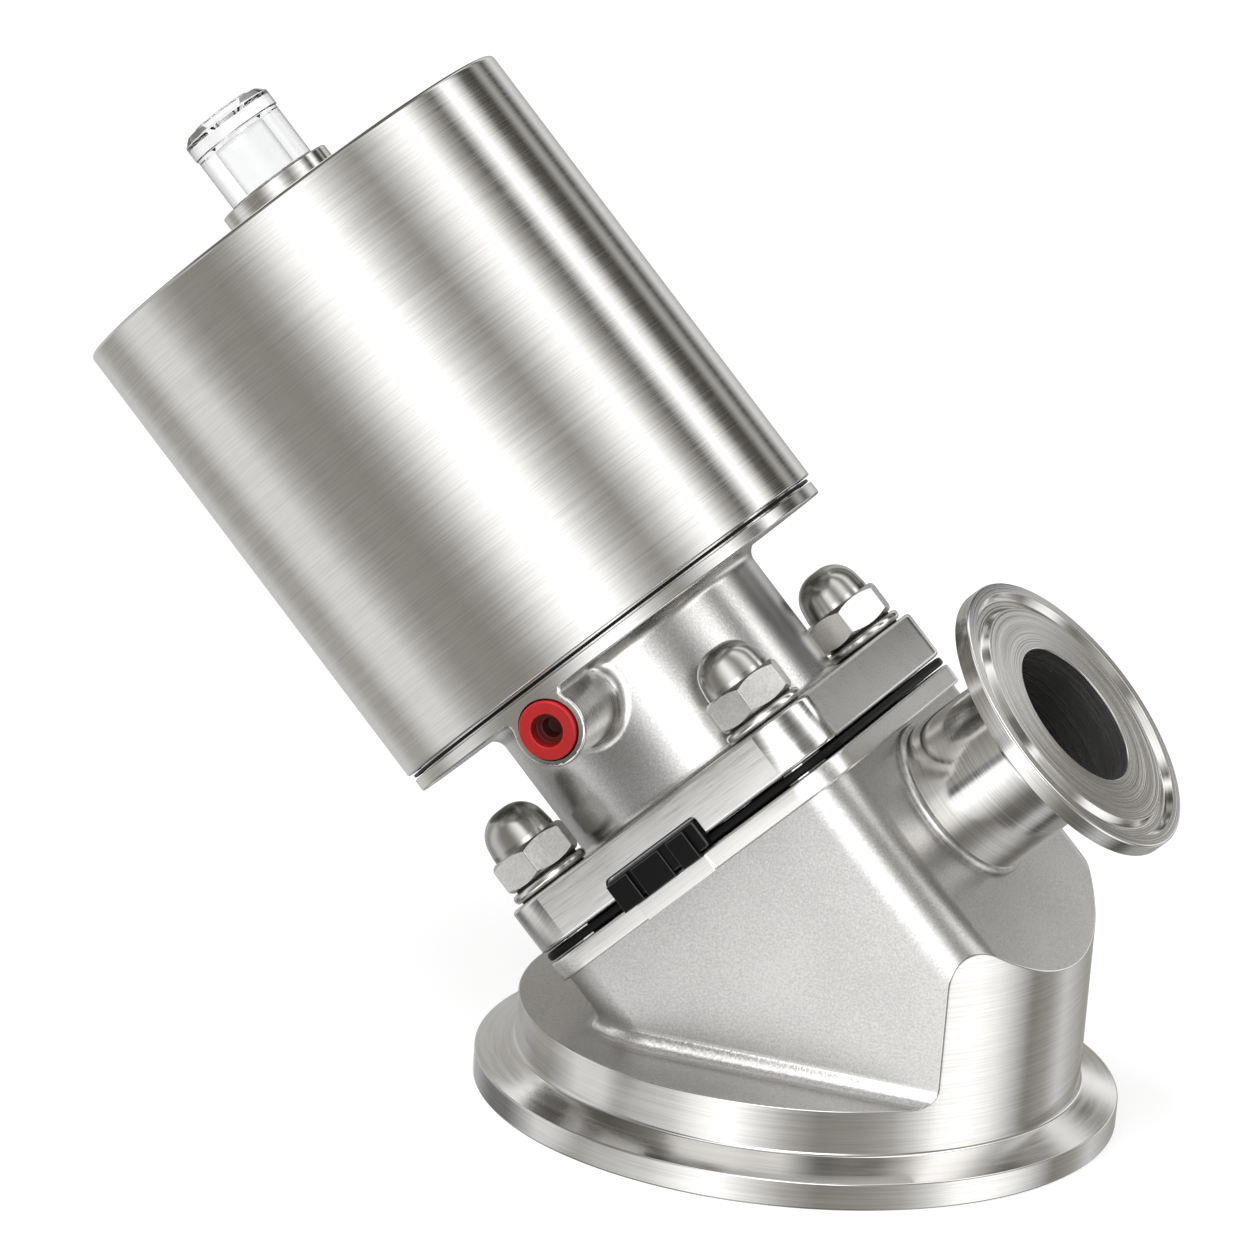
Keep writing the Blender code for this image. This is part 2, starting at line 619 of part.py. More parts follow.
def make_pressure_piece():
    """Metal compressor that backs the diaphragm, screwed to the spindle's lower end."""
    bottom = PRESSURE_PIECE_LOW
    outer = PRESSURE_PIECE_RADIUS
    top = bottom + PRESSURE_PIECE_HEIGHT
    top_depth = BONNET_LOW - bottom
    stud_bore = DIAPHRAGM_STUD_DIA / 2 + CLEARANCE
    socket = SPINDLE_DIA / 2 + CLEARANCE
    rim_low = bottom + cap_height(outer, SEAT_RADIUS, top_depth)
    under = bowl_curve(outer, stud_bore, SEAT_RADIUS, top_depth, bottom, 5)
    profile = [(socket, top), (socket + 3 * MM, top), (socket + 3 * MM, rim_low + 3 * MM),
               (outer, rim_low + 2 * MM)] + under
    floor = bottom + SPINDLE_SOCKET_FLOOR
    profile += [(stud_bore, floor), (socket, floor)]
    return add_part("pressure_piece", turned(profile, MEDIUM), ACTUATOR, STEEL)


def port_rib():
    """Rib that blends the pilot boss into the base disc, with a hollow fillet on each side."""
    rise = BASE_DISC_LOW - PORT_STATION
    up = rise - PORT_FILLET
    reach = PORT_BOSS_DIA / 2 - 0.15 * MM + PORT_FILLET
    side = math.sqrt(reach ** 2 - up ** 2)
    touch = math.degrees(math.atan2(up, side))
    right = [(side, rise + 1 * MM)] + arc((side, up), PORT_FILLET, 90, 180 + touch, 4)
    outline = right + [(0, -up)] + [(-x, y) for x, y in reversed(right)]
    outline.reverse()
    front = BASE_DISC_RADIUS - 1 * MM
    return lofted([[(x, y, height) for x, y in outline] for height in (NECK_RADIUS / 2, front)])


def make_bonnet():
    """Cast bonnet: square flange, round neck, pilot boss and the actuator's base disc."""
    neck = NECK_RADIUS
    disc = BASE_DISC_RADIUS
    wire = RETAINING_WIRE_DIA / 2
    foot = BONNET_FLANGE_TOP
    profile = [(0, BASE_TOP), (SPIGOT_RADIUS - 0.6 * MM, BASE_TOP),
               (SPIGOT_RADIUS, BASE_TOP - 0.6 * MM),
               (SPIGOT_RADIUS, RETAINING_STATION + wire + CLEARANCE),
               (SPIGOT_RADIUS - wire, RETAINING_STATION + wire + CLEARANCE),
               (SPIGOT_RADIUS - wire, RETAINING_STATION - wire - CLEARANCE),
               (SPIGOT_RADIUS, RETAINING_STATION - wire - CLEARANCE),
               (SPIGOT_RADIUS, BASE_DISC_TOP), (disc, BASE_DISC_TOP),
               (disc, BASE_DISC_LOW + 0.6 * MM), (disc - 0.6 * MM, BASE_DISC_LOW)]
    profile += arc((neck + 2 * NECK_FILLET, BASE_DISC_LOW - 2 * NECK_FILLET), 2 * NECK_FILLET,
                   90, 180, 3)
    profile += arc((neck + NECK_FILLET, foot + NECK_FILLET), NECK_FILLET, 180, 250, 2)
    profile += [(neck + NECK_FILLET, foot - 1 * MM), (0, foot - 1 * MM)]
    plate = rounded_square(FLANGE_SIDE, FLANGE_CORNER, BONNET_LOW, BONNET_FLANGE_TOP)
    bonnet = add_part("bonnet", plate, ACTUATOR, CAST_STEEL)
    boss = rod(PORT_BOSS_DIA / 2, neck / 2, PORT_REACH)
    join(bonnet, add_cutter("bonnet_neck", turned(profile), ACTUATOR),
         add_cutter("port_boss", boss, PORT, phase=CUTTER_PHASE),
         add_cutter("port_rib", port_rib(), PORT))

    bush = BUSH_DIA / 2 + CLEARANCE
    bush_top = BUSH_TOP + CLEARANCE
    inside = turned([(0, BASE_TOP + 2 * MM), (SPINDLE_HOLE_RADIUS, BASE_TOP + 2 * MM),
                     (SPINDLE_HOLE_RADIUS, bush_top), (bush, bush_top),
                     (bush, BUSH_LOW), (ROOM_RADIUS, ROOM_TOP),
                     (ROOM_RADIUS, BONNET_LOW - 2 * MM), (0, BONNET_LOW - 2 * MM)])
    bore_floor = PORT_REACH - PORT_BORE_DEPTH
    air_end = AIR_WAY_PLACE - 0.8 * AIR_WAY_DIA
    port_bore = turned([(0, PORT_REACH + 2 * MM), (PORT_BORE_RADIUS, PORT_REACH + 2 * MM),
                        (PORT_BORE_RADIUS, bore_floor), (AIR_WAY_DIA / 2, bore_floor),
                        (AIR_WAY_DIA / 2, air_end), (0, air_end)], MEDIUM)
    air_up = rod(AIR_WAY_DIA / 2, PORT_STATION - AIR_WAY_DIA / 4, BASE_TOP + 2 * MM, SMALL)
    air_place = (0, -AIR_WAY_PLACE, 0)
    notch_top = SEAT_PLANE - TAG_BELOW_SEAT + TAG_HEIGHT + CLEARANCE
    notch = box(TAG_LENGTH + 2 * CLEARANCE, 2 * TAG_NOTCH_DEPTH, BONNET_LOW - 2 * MM, notch_top)
    cut(bonnet, add_cutter("bonnet_inside", inside, ACTUATOR, phase=CUTTER_PHASE),
        add_cutter("air_up", air_up, ACTUATOR, air_place),
        add_cutter("tag_notch", notch, ACTUATOR, (TAG_OFFSET, -FLANGE_SIDE / 2, 0)))
    hole = rod(STUD_DIA / 2 + CLEARANCE, BONNET_LOW - 2 * MM, BONNET_FLANGE_TOP + 2 * MM, SMALL)
    for index, (u, v) in enumerate(bolt_places()):
        cut(bonnet, add_cutter(f"bonnet_stud_hole_{index + 1}", hole, ACTUATOR, (u, v, 0)))
    cut(bonnet, add_cutter("port_bore", port_bore, PORT, phase=3 * CUTTER_PHASE))
    tidy_joint(bonnet)
    return bonnet


def make_bush_and_seals():
    bore = SPINDLE_HOLE_RADIUS
    outer = BUSH_DIA / 2
    top = BUSH_TOP
    seal = SPINDLE_SEAL_DIA / 2
    lower = BUSH_LOW + 0.25 * (BUSH_TOP - BUSH_LOW)
    upper = BUSH_LOW + 0.75 * (BUSH_TOP - BUSH_LOW)
    groove = bore + 2 * seal + CLEARANCE
    half = seal + CLEARANCE
    profile = [(bore, top), (outer, top), (outer, BUSH_LOW), (bore, BUSH_LOW)]
    for height in (lower, upper):
        profile += [(bore, height - half), (groove, height - half),
                    (groove, height + half), (bore, height + half)]
    add_part("spindle_bush", turned(profile, MEDIUM), ACTUATOR, BRONZE)
    for name, height in (("spindle_seal_lower", lower), ("spindle_seal_upper", upper)):
        ring = o_ring(bore + seal, seal, height, MEDIUM)
        add_part(name, ring, ACTUATOR, RUBBER)


def make_spindle():
    low = PRESSURE_PIECE_LOW + SPINDLE_SOCKET_FLOOR + CLEARANCE
    shoulder = PISTON_LOW - CLEARANCE
    top = SPINDLE_TOP
    radius = SPINDLE_DIA / 2
    end = SPINDLE_END_DIA / 2
    bore = INDICATOR_ROD_DIA / 2 + CLEARANCE
    seat = top - INDICATOR_ROD_SEAT
    profile = [(0, seat), (bore, seat), (bore, top), (end - 0.5 * MM, top),
               (end, top - 0.5 * MM), (end, shoulder), (radius, shoulder),
               (radius, low + 0.6 * MM), (radius - 0.6 * MM, low), (0, low)]
    add_part("spindle", turned(profile, MEDIUM), ACTUATOR, STEEL)
    nut_form = hex_bar(SPINDLE_NUT_FLATS, SPINDLE_NUT_LOW, SPINDLE_NUT_LOW + SPINDLE_NUT_HEIGHT)
    nut = add_part("spindle_nut", nut_form, ACTUATOR, STEEL)
    nut_bore = rod(end + CLEARANCE, PISTON_WEB_TOP - 2 * MM, top)
    cut(nut, add_cutter("spindle_nut_bore", nut_bore, ACTUATOR))


def make_piston():
    bore = SPINDLE_END_DIA / 2 + CLEARANCE
    outer = PISTON_RADIUS
    top = PISTON_LOW + PISTON_HEIGHT
    seal = PISTON_SEAL_DIA / 2
    seal_height = PISTON_LOW + 1.2 * MM + seal + CLEARANCE
    ring_low = top - 1.2 * MM - GUIDE_RING_HEIGHT - CLEARANCE
    seal_groove = outer - 2 * seal
    ring_groove = outer - 1.8 * MM
    skirt = PISTON_SKIRT_RADIUS
    profile = [(skirt, top), (outer, top), (outer, ring_low + GUIDE_RING_HEIGHT + CLEARANCE),
               (ring_groove, ring_low + GUIDE_RING_HEIGHT + CLEARANCE),
               (ring_groove, ring_low - CLEARANCE), (outer, ring_low - CLEARANCE),
               (outer, seal_height + seal + CLEARANCE),
               (seal_groove, seal_height + seal + CLEARANCE),
               (seal_groove, seal_height - seal - CLEARANCE),
               (outer, seal_height - seal - CLEARANCE), (outer, PISTON_LOW),
               (bore, PISTON_LOW), (bore, PISTON_WEB_TOP), (skirt, PISTON_WEB_TOP)]
    add_part("piston", turned(profile), ACTUATOR, ALUMINIUM)
    seal_ring = o_ring(outer - seal + 0.1 * MM, seal - 0.1 * MM, seal_height)
    add_part("piston_seal", seal_ring, ACTUATOR, RUBBER)
    guide = tube(outer + 0.1 * MM, ring_groove + CLEARANCE, ring_low, ring_low + GUIDE_RING_HEIGHT)
    add_part("piston_guide_ring", guide, ACTUATOR, WHITE_PLASTIC)


def make_springs():
    low = PISTON_WEB_TOP + CLEARANCE
    high = SHELL_ROOF - CLEARANCE
    outer = helix_mesh(OUTER_SPRING_RADIUS, OUTER_WIRE_DIA / 2, low, high, OUTER_ACTIVE_TURNS)
    add_part("outer_spring", outer, ACTUATOR, SPRING_STEEL)
    inner = helix_mesh(INNER_SPRING_RADIUS, INNER_WIRE_DIA / 2, low, high, INNER_ACTIVE_TURNS, 9)
    add_part("inner_spring", inner, ACTUATOR, SPRING_STEEL)


def make_shell():
    """Drawn cup over the piston, held on the base disc by a wire ring in two half grooves."""
    outer = SHELL_DIA / 2
    bore = SHELL_BORE_RADIUS
    wire = RETAINING_WIRE_DIA / 2
    groove_low = RETAINING_STATION - wire - CLEARANCE
    groove_high = RETAINING_STATION + wire + CLEARANCE
    groove = bore + 0.6 * wire
    hole = INDICATOR_THREAD_DIA / 2 + CLEARANCE
    profile = [(hole, SHELL_TOP), (outer - SHELL_EDGE, SHELL_TOP), (outer, SHELL_TOP - SHELL_EDGE),
               (outer, SHELL_LOW), (bore, SHELL_LOW), (bore, groove_low), (groove, groove_low),
               (groove, groove_high), (bore, groove_high), (bore, SHELL_ROOF), (hole, SHELL_ROOF)]
    add_part("actuator_shell", turned(profile), ACTUATOR, STEEL)
    ring = o_ring((SPIGOT_RADIUS + bore) / 2 - 0.1 * wire, 0.8 * wire, RETAINING_STATION)
    add_part("shell_retaining_ring", ring, ACTUATOR, SPRING_STEEL)
    seal_low = BASE_DISC_TOP + CLEARANCE
    seal = tube(BASE_DISC_RADIUS - CLEARANCE, SPIGOT_RADIUS + CLEARANCE, seal_low,
                seal_low + SHELL_SEAL_THICKNESS)
    add_part("shell_seal", seal, ACTUATOR, RUBBER)


def make_indicator():
    ring_low = SHELL_TOP + CLEARANCE
    ring_top = ring_low + INDICATOR_RING_HEIGHT
    thread = INDICATOR_THREAD_DIA / 2
    ring = INDICATOR_RING_DIA / 2
    bore = INDICATOR_ROD_DIA / 2 + CLEARANCE
    cap_spigot = INDICATOR_CAP_BORE / 2 + 1.2 * MM
    socket_low = ring_top - 2 * MM
    thread_low = SHELL_ROOF - 2.5 * MM
    seal = 0.9 * MM
    seal_height = (thread_low + socket_low) / 2
    groove = bore + 2 * seal
    profile = [(cap_spigot + CLEARANCE, ring_top), (ring - 0.4 * MM, ring_top),
               (ring, ring_top - 0.4 * MM), (ring, ring_low), (thread, ring_low),
               (thread, thread_low), (bore, thread_low),
               (bore, seal_height - seal - CLEARANCE), (groove, seal_height - seal - CLEARANCE),
               (groove, seal_height + seal + CLEARANCE), (bore, seal_height + seal + CLEARANCE),
               (bore, socket_low), (cap_spigot + CLEARANCE, socket_low)]
    add_part("indicator_bush", turned(profile, MEDIUM), ACTUATOR, STEEL)
    wiper = o_ring(bore + seal - 0.1 * MM, seal - 0.1 * MM, seal_height, MEDIUM)
    add_part("indicator_seal", wiper, ACTUATOR, RUBBER)

    cap_low = ring_top + CLEARANCE
    cap_top = cap_low + INDICATOR_CAP_HEIGHT
    cap = INDICATOR_CAP_DIA / 2
    cap_bore = INDICATOR_CAP_BORE / 2
    boss = 0.64 * cap
    roof = cap_top - INDICATOR_CAP_ROOF
    profile = [(0, cap_top), (boss, cap_top), (boss, cap_top - 0.5 * MM),
               (cap - 1.2 * MM, cap_top - 0.5 * MM), (cap, cap_top - 1.7 * MM),
               (cap, cap_top - 3.2 * MM), (cap - 0.35 * MM, cap_top - 3.5 * MM),
               (cap - 0.35 * MM, cap_low), (cap_spigot, cap_low),
               (cap_spigot, socket_low + CLEARANCE), (cap_bore, socket_low + CLEARANCE),
               (cap_bore, roof - 0.8 * MM), (cap_bore - 1 * MM, roof), (0, roof)]
    add_part("indicator_cap", turned(profile, MEDIUM), ACTUATOR, CLEAR_PLASTIC)

    low = SPINDLE_TOP - INDICATOR_ROD_SEAT + CLEARANCE
    high = roof - STROKE - INDICATOR_ROD_SPARE
    radius = INDICATOR_ROD_DIA / 2
    profile = [(0, high), (radius - 0.4 * MM, high), (radius, high - 0.4 * MM), (radius, low), (0, low)]
    add_part("indicator_rod", turned(profile, SMALL), ACTUATOR, STEEL)


def make_pilot_plug():
    """Red plastic plug screwed into the pilot port, with a stepped hole for a key."""
    radius = PORT_BORE_RADIUS - CLEARANCE
    face = PORT_REACH + 0.3 * MM
    low = PORT_REACH - PORT_BORE_DEPTH + CLEARANCE
    wide = 0.55 * radius
    narrow = 0.34 * radius
    profile = [(0, face - 5 * MM), (narrow, face - 5 * MM), (narrow, face - 2.4 * MM),
               (wide, face - 2.4 * MM), (wide, face - 0.3 * MM), (wide + 0.3 * MM, face),
               (radius - 0.4 * MM, face), (radius, face - 0.4 * MM), (radius, low), (0, low)]
    return add_part("pilot_plug", turned(profile, MEDIUM), PORT, RED_PLASTIC)


def cap_nut_mesh():
    """Domed cap nut, standing on z = 0, with a blind bore for its stud."""
    corner = NUT_ACROSS_FLATS / math.sqrt(3)
    dome = NUT_ACROSS_FLATS / 2 - NUT_DOME_STEP
    lip = 0.6 * MM
    nut = add_part("nut_form", hex_bar(NUT_ACROSS_FLATS, 0, NUT_HEX_HEIGHT), None, STEEL)
    chamfer = turned([(0, NUT_HEX_HEIGHT + 1 * MM), (NUT_ACROSS_FLATS / 2 - 0.9 * MM,
                                                    NUT_HEX_HEIGHT + 1 * MM - 0.01 * MM),
                      (corner + 0.1 * MM, NUT_HEX_HEIGHT - 0.7 * MM), (corner + 0.1 * MM, lip),
                      (NUT_ACROSS_FLATS / 2, -0.1 * MM), (0, -0.1 * MM)], MEDIUM)
    combine(nut, "INTERSECT", add_cutter("nut_chamfer", chamfer, None))
    round_low = NUT_HEIGHT - dome
    profile = arc((0, round_low), dome, 90, 0, 3)
    profile += [(dome, NUT_HEX_HEIGHT - 1 * MM), (0, NUT_HEX_HEIGHT - 1 * MM)]
    join(nut, add_cutter("nut_dome", turned(profile, MEDIUM), None))
    bore = rod(STUD_DIA / 2 + CLEARANCE, -1 * MM, NUT_HEIGHT - NUT_ROOF, SMALL)
    cut(nut, add_cutter("nut_bore", bore, None))
    return baked(nut)


def make_fasteners():
    stud_low = SEAT_PLANE - STUD_DEPTH_IN_BODY
    stud_top = NUT_LOW + NUT_HEIGHT - NUT_ROOF - CLEARANCE
    radius = STUD_DIA / 2
    stud = turned([(0, stud_top), (radius - 0.6 * MM, stud_top), (radius, stud_top - 0.6 * MM),
                   (radius, stud_low), (0, stud_low)], SMALL)
    washer = tube(WASHER_DIA / 2, radius + CLEARANCE, WASHER_LOW, WASHER_LOW + WASHER_THICKNESS,
                  MEDIUM)
    nut = cap_nut_mesh()
    for index, (u, v) in enumerate(bolt_places()):
        number = index + 1
        add_part(f"stud_{number}", stud, ACTUATOR, STEEL, (u, v, 0))
        add_part(f"washer_{number}", washer, ACTUATOR, STEEL, (u, v, 0))
        cap_nut = add_part(f"cap_nut_{number}", nut, ACTUATOR, STEEL, (u, v, NUT_LOW))
        cap_nut.rotation_euler = (0, 0, NUT_TURN)


def stand_on_footprint_centre():
    """Move the whole valve so that the origin lies under the middle of its outline."""
    bpy.context.view_layer.update()
    depsgraph = bpy.context.evaluated_depsgraph_get()
    reaches = []
    for obj in PARTS.objects:
        if obj.type != "MESH":
            continue
        shape = obj.evaluated_get(depsgraph)
        reaches += [(obj.matrix_world @ vertex.co).x for vertex in shape.data.vertices]
    TANK.location.x = -(min(reaches) + max(reaches)) / 2


clear_scene()
PARTS = make_collection("tank_bottom_valve")
CUTTERS = make_collection("cutters")

STEEL = make_material("stainless_steel", (0.62, 0.60, 0.57), 0.28, 1.0)
CAST_STEEL = make_material("blasted_steel", (0.58, 0.56, 0.53), 0.5, 1.0)
SPRING_STEEL = make_material("spring_steel", (0.30, 0.30, 0.31), 0.4, 1.0)
ALUMINIUM = make_material("aluminium", (0.75, 0.75, 0.76), 0.35, 1.0)
BRONZE = make_material("bronze", (0.55, 0.36, 0.16), 0.4, 1.0)
RUBBER = make_material("black_rubber", (0.02, 0.02, 0.02), 0.6, 0.0)
WHITE_PLASTIC = make_material("white_plastic", (0.8, 0.8, 0.78), 0.5, 0.0)
RED_PLASTIC = make_material("red_plastic", (0.72, 0.02, 0.02), 0.35, 0.0)
CLEAR_PLASTIC = make_material("clear_plastic", (0.92, 0.94, 0.95), 0.05, 0.0, 0.3)

TANK = make_frame("tank_frame")
ACTUATOR = make_frame("actuator_frame", TANK, (0, 0, CROSSING_HEIGHT), (0, -TILT, 0))
OUTLET = make_frame("outlet_frame", ACTUATOR, (0, 0, OUTLET_STATION), (0, math.pi / 2, 0))
PORT = make_frame("port_frame", ACTUATOR, (0, 0, PORT_STATION), (math.pi / 2, 0, 0))

make_valve_body()
make_outlet_spigot()
make_diaphragm()
make_diaphragm_stud()
make_pressure_piece()
make_bonnet()
make_bush_and_seals()
make_spindle()
make_piston()
make_springs()
make_shell()
make_indicator()
make_pilot_plug()
make_fasteners()
stand_on_footprint_centre()
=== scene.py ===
"""Tank bottom valve, dressed for its picture: a brushed steel actuator leaning over a blasted body.

Shapes are drawn in millimetres about the tank axis, where Z is up and the outlet points to +X,
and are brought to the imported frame's metres when each piece is finished.
"""

from math import atan2, cos, degrees, hypot, pi, radians, sin, sqrt, tan

import bmesh
import bpy
import numpy as np
from mathutils import Matrix, Vector


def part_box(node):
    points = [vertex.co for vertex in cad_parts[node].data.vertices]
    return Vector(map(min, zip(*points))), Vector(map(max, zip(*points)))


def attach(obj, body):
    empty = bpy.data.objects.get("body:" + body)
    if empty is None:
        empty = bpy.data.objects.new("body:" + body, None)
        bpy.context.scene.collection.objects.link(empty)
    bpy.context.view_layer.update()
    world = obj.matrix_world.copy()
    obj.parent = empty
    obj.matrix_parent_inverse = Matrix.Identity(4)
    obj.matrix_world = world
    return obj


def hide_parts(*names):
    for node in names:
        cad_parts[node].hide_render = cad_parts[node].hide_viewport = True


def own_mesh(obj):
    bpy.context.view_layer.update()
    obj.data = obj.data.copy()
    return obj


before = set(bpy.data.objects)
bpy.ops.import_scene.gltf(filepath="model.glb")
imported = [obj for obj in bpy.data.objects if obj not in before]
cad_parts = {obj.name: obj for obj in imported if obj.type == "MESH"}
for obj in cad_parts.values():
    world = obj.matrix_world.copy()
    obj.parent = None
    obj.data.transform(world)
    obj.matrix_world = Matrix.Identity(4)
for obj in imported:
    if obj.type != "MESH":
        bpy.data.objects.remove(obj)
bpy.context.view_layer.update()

MM = 0.001


# Camera
# The picture is taken from the front with a long lens, a little from the right and above,
# and the camera is tilted, so that the valve leans to the left.
CAMERA_AIM = Vector((-1.25, 0, 73.7)) * MM
CAMERA_DISTANCE = 1469 * MM
CAMERA_YAW, CAMERA_PITCH, CAMERA_ROLL = 19.4, 17.6, 4.75
PICTURE_SIDE, FOCAL_PIXELS, SENSOR = 1254, 9000, 36


def spin(angle, axis):
    return Matrix.Rotation(radians(angle), 4, axis)


def shift(*way):
    return Matrix.Translation(way)


def aimed(yaw, pitch, roll, aim, distance):
    """Matrix of an object that looks down its -Z at a point, turned to the side, up and round."""
    turn = spin(yaw, "Z") @ spin(90 - pitch, "X") @ spin(roll, "Z")
    return Matrix.Translation(aim) @ turn @ shift(0, 0, distance)


def placed(name, data):
    """New object in the scene."""
    piece = bpy.data.objects.new(name, data)
    bpy.context.scene.collection.objects.link(piece)
    return piece


camera_data = bpy.data.cameras.new("camera")
camera_data.sensor_width = SENSOR
camera_data.lens = SENSOR * FOCAL_PIXELS / PICTURE_SIDE
camera_data.clip_end = 10
camera = placed("camera", camera_data)
camera.matrix_world = aimed(CAMERA_YAW, CAMERA_PITCH, CAMERA_ROLL, CAMERA_AIM, CAMERA_DISTANCE)
bpy.context.scene.camera = camera
bpy.context.scene.view_settings.view_transform = "Standard"


# Valve body
# One piece of stainless steel: the turned tank ferrule and cylinder, a leaning block milled out of
# the same bar with a blasted skin, and a thin square flange that the diaphragm lies on.
FERRULE_RADIUS, FERRULE_RIM, FERRULE_SLOPE = 53, 4.5, radians(20)
GROOVE_HALF, GROOVE_DEPTH, TANK_GROOVE = 1.5, 1.2, 48.5
BODY_RADIUS, SHELF, BLOCK_HALF, BLOCK_CORNER, BLOCK_FILLET = 46.5, 14.4, 31.3, 7.3, 3.2
CROSSING, OUTLET_DROP, OUTLET_WAY, OUTLET_BEND, PORT_HEIGHT = 34.5, 1.8, 12.5, 15.1, 47.1
FLANGE_HALF, FLANGE_CORNER, FLANGE_EDGE = 32.5, 8.5, 0.45
BODY_FLANGE_LOW, SEAT_PLANE = 13.1, 16.6
SEAT_RADIUS, SEAT_DEPTH, WAY_RADIUS, WAY_OFFSET, WAY_TOP = 23.04, 5.6, 9.52, 11.52, 14.6
FUNNEL_MOUTH, FUNNEL_NECK, FUNNEL_TOP = 32, 8.02, 21
BOLT_HALF, STUD_HOLE, TAG_MIDDLE = 24, 4.3, -2.5


def worked(operation):
    """Operator that adds its own sum to the node tree."""
    return lambda field, other: field.nodes.maths(operation, field, other)


class Field:
    """A node's socket that takes part in Python arithmetic."""
    __add__ = __radd__ = worked("ADD")
    __sub__ = worked("SUBTRACT")
    __mul__ = __rmul__ = worked("MULTIPLY")
    __truediv__ = worked("DIVIDE")
    __pow__ = worked("POWER")

    def __init__(self, nodes, socket):
        self.nodes, self.socket = nodes, socket


class Nodes:
    """A node tree, and the calls that add a node or a sum to it."""

    def node(self, kind, inputs=None, **settings):
        made = self.tree.nodes.new(kind)
        for name, value in settings.items():
            setattr(made, name, value)
        for name, value in (inputs or {}).items():
            if isinstance(value, Field):
                self.tree.links.new(value.socket, made.inputs[name])
            else:
                made.inputs[name].default_value = value
        return made

    def put(self, kind, inputs=None, **settings):
        """Add a node and give its first result."""
        return Field(self, self.node(kind, inputs, **settings).outputs[0])

    def maths(self, operation, first, second=0.0):
        return self.put("ShaderNodeMath", {0: first, 1: second}, operation=operation)

    def vector(self, x, y, z):
        return self.put("ShaderNodeCombineXYZ", {0: x, 1: y, 2: z})


class Finish(Nodes):
    """A material with one Principled shader. Patterns lie in object coordinates, in millimetres."""

    def __init__(self, name, **uniform):
        self.material = bpy.data.materials.new(name)
        self.material.use_nodes = True
        self.tree = self.material.node_tree
        self.shader = self.tree.nodes["Principled BSDF"]
        for socket, value in uniform.items():
            self.shader.inputs[socket.replace("_", " ")].default_value = value

    def blend(self, factor, start, end):
        """Colour that goes from start to end as factor goes from 0 to 1."""
        made = self.node("ShaderNodeMix", {0: factor, 6: start, 7: end}, data_type="RGBA")
        return Field(self, made.outputs[2])

    def step(self, value, low, high, start=0.0, end=1.0):
        """Smooth change from start to end as value goes from low to high."""
        inputs = {0: value, 1: low, 2: high, 3: start, 4: end}
        return self.put("ShaderNodeMapRange", inputs, interpolation_type="SMOOTHSTEP")

    def place(self, axis):
        """Object coordinates in millimetres, seen from an axis frame drawn in millimetres."""
        turn = axis.to_3x3().inverted()
        inputs = {"Scale": (1 / MM,) * 3, "Rotation": turn.to_euler(),
                  "Location": -(turn @ (axis.translation + Vector((TANK_AXIS_X, 0, 0))))}
        inputs["Vector"] = Field(self, self.node("ShaderNodeTexCoord").outputs["Object"])
        return self.put("ShaderNodeMapping", inputs)

    def parts(self, vector):
        made = self.node("ShaderNodeSeparateXYZ", {0: vector})
        return [Field(self, socket) for socket in made.outputs]

    def noise(self, vector, scale, detail=2.0, roughness=0.5, distortion=0.0):
        inputs = {"Vector": vector, "Scale": scale, "Detail": detail, "Roughness": roughness,
                  "Distortion": distortion}
        return self.put("ShaderNodeTexNoise", inputs)

    def ramp(self, value, stops):
        """Light that follows a table of degrees, from -180 to 180, and levels. It is warmer
        where it is dim."""
        made = self.node("ShaderNodeValToRGB", {0: value / 360 + 0.5})
        band = made.color_ramp.elements
        while len(band) < len(stops):
            band.new(0.5)
        for element, (angle, level) in zip(band, stops.items()):
            element.position = angle / 360 + 0.5
            warm = max(0, 1 - level / 0.8)
            element.color = (level * (1 + 0.08 * warm), level, level * (1 - 0.14 * warm), 1)
        return Field(self, made.outputs[0])

    def feed(self, socket, field):
        self.tree.links.new(field.socket, self.shader.inputs[socket])

    def relief(self, height, depth):
        """Let a height field, in shares of a depth in millimetres, bend the light."""
        inputs = {"Height": height, "Distance": depth * MM, "Strength": 1.0}
        made = self.node("ShaderNodeBump", inputs)
        self.tree.links.new(made.outputs["Normal"], self.shader.inputs["Normal"])


TANK_AXIS_X = (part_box("valve_body")[0].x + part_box("valve_body")[1].x) / 2 / MM
TANK = Matrix.Identity(4)
ACTUATOR = shift(0, 0, CROSSING) @ spin(-45, "Y")
OUTLET = ACTUATOR @ shift(0, 0, -OUTLET_DROP) @ spin(90, "Y")
TO_PORT = shift(0, 0, PORT_HEIGHT) @ spin(90, "X")
PORT = ACTUATOR @ TO_PORT


def steel(level, blue=0.96):
    """Colour of bare stainless steel, a little warm."""
    return level, level * 0.985, level * blue, 1


LATHE_DEPTH, GRIND_DEPTH = 0.002, 0.003


